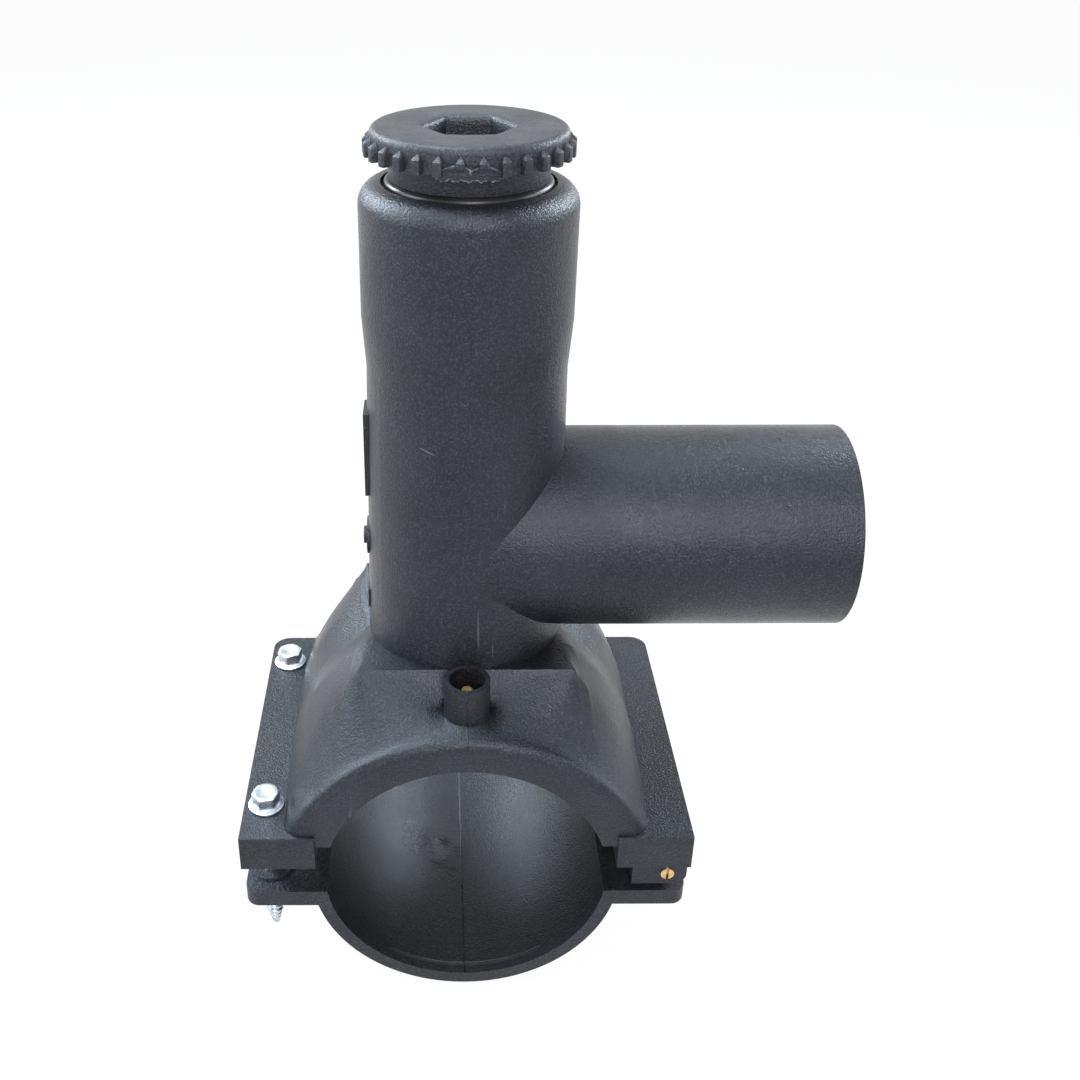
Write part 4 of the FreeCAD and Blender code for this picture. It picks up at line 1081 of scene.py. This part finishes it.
def buildScrew(node, values):
    body, along = values["places"][node]
    seat = values["seat"]
    length = values["length"]
    tip = values["tip"]
    core = values["core"]
    radius = values["radius"]
    collar = values["collar"]
    head = values["head"]
    across = values["across"]
    corner = across / math.sqrt(3)
    turn = math.radians(values["turn"][node])
    zinc = metalMaterials["zincPlate"]

    def hexagon(limit):
        return lambda angle: min(hexReach(across, angle - turn), limit)

    profile = [(-length, 0.35), (-length + 0.6, 0.9), (-length + tip, core), (-2.2, core),
               (-1.6, radius - 0.1), (-0.05, radius - 0.1), (0.0, collar - 0.35), (0.15, collar - 0.05),
               (0.45, collar), (0.75, collar - 0.1), (0.95, collar - 0.5), (1.15, corner + 0.35),
               (1.35, corner + 0.1), (1.55, hexagon(corner)), (head - 0.75, hexagon(corner)),
               (head - 0.35, hexagon(corner - 0.16)), (head - 0.12, hexagon(across / 2 - 0.02)),
               (head, across / 2 - 0.45), (head, across / 2 - 1.3), (head - 0.25, across / 2 - 1.9)]
    profile = [(seat + height, reach) for height, reach in profile]
    rings = turnedRings((values["x"], along), values["steps"], profile)
    obj = tidyMesh(ringShell(node + "Turned", rings), 28.0)
    threaded(obj, core, core, values["pitch"], length - tip - values["shank"], radius - core,
             (values["x"], along, seat - length + tip), zinc)
    bake(obj)
    threaded(obj, values["tipCore"], core, values["pitch"], tip - 1.0, values["tipDepth"],
             (values["x"], along, seat - length + values["tipStart"]), zinc)
    bake(obj)
    return settle(obj, body, node, zinc)


for node in screw["places"]:
    buildScrew(node, screw)
print("screws ready")

cutter = {  # mm, heights above the main's axis
    "top": 184.0,
    "length": 62.0,
    "radius": 18.9,
    "core": 18.1,
    "bore": 16.35,
    "ceiling": 160.0,
    "socket": 17.0,  # across flats
    "socketDepth": 14.0,
    "sealHeight": 165.0,
    "sealRoom": 1.05,
    "sealFloor": 16.9,
    "collar": 2.6,
    "pitch": 4.0,
    "upperThread": (1.4, 4.0),  # its start above the collar, and how much shorter than its room it is
    "lowerThread": (13.0, 15.0),  # the same from the cutter's bottom
    "nose": (4.4, 11.4, 12.0),  # heights above the bottom: plain from, plain to, thread's core from
    "teeth": 12,
    "toothDepth": 3.6,
    "toothGap": 4.4,
    "steps": 192,
}


def buildCutter(values):
    top = values["top"]
    bottom = top - values["length"]
    floor = top - values["socketDepth"]
    core = values["core"]
    full = values["radius"]
    bore = values["bore"]
    collar = values["collar"]
    ceiling = values["ceiling"]
    low = values["sealHeight"] - values["sealRoom"]
    high = values["sealHeight"] + values["sealRoom"]
    noseBottom, noseTop, noseEnd = (bottom + height for height in values["nose"])
    share = 2 * math.pi / values["teeth"]
    steel = metalMaterials["turnedSteel"]

    def hole(extra):
        return lambda angle: hexReach(values["socket"], angle) + extra

    def toothed(radius):
        made = []
        for x, y, z in ringAt(values["steps"], (0, 0), bottom, radius):
            away = abs((math.atan2(y, x) + share / 2) % share - share / 2) * full
            made.append((x, y, z + max(0.0, 1 - away / (values["toothGap"] / 2)) * values["toothDepth"]))
        return made

    outside = [(floor, hole(-3)), (floor, hole(0)), (top - 0.4, hole(0)), (top, hole(0.4)), (top, full - 1.1),
               (top - 0.9, full - 0.3), (top - 1.1, core), (high + collar + 0.6, core), (high + collar, full),
               (high, full), (high, values["sealFloor"]), (low, values["sealFloor"]), (low, full),
               (low - collar, full), (low - collar - 0.6, core), (noseEnd, core), (noseTop, full),
               (noseBottom, full)]
    inside = [(noseBottom + 0.2, bore), (ceiling - 0.5, bore), (ceiling, bore - 0.5)]
    rings = turnedRings((0, 0), values["steps"], outside) + [toothed(full), toothed(bore)]
    rings += turnedRings((0, 0), values["steps"], inside)
    obj = tidyMesh(ringShell("cutterTurned", rings))
    start, spare = values["upperThread"]
    threaded(obj, core, core, values["pitch"], top - high - collar - spare, full - core,
             (0, 0, high + collar + start), steel)
    bake(obj)
    start, spare = values["lowerThread"]
    threaded(obj, core, core, values["pitch"], low - collar - bottom - spare, full - core,
             (0, 0, bottom + start), steel)
    bake(obj)
    return settle(obj, "cutter", "cutter", steel)


buildCutter(cutter)
print("cutter ready")

nodeFinishes = {  # these keep the mesh of their node
    "hinge_pin": metalMaterials["brassRod"],
    "terminal_pin_front": metalMaterials["brassRod"],
    "terminal_pin_rear": metalMaterials["brassRod"],
    "heating_coil": metalMaterials["heatingWire"],
    "guide_sleeve": metalMaterials["turnedSteel"],
    "cap_o_ring": rubberMaterial,
    "cutter_o_ring": rubberMaterial,
}
for name, material in nodeFinishes.items():
    for slot in nodes[name].material_slots:
        slot.material = material
print("CAD nodes finished")
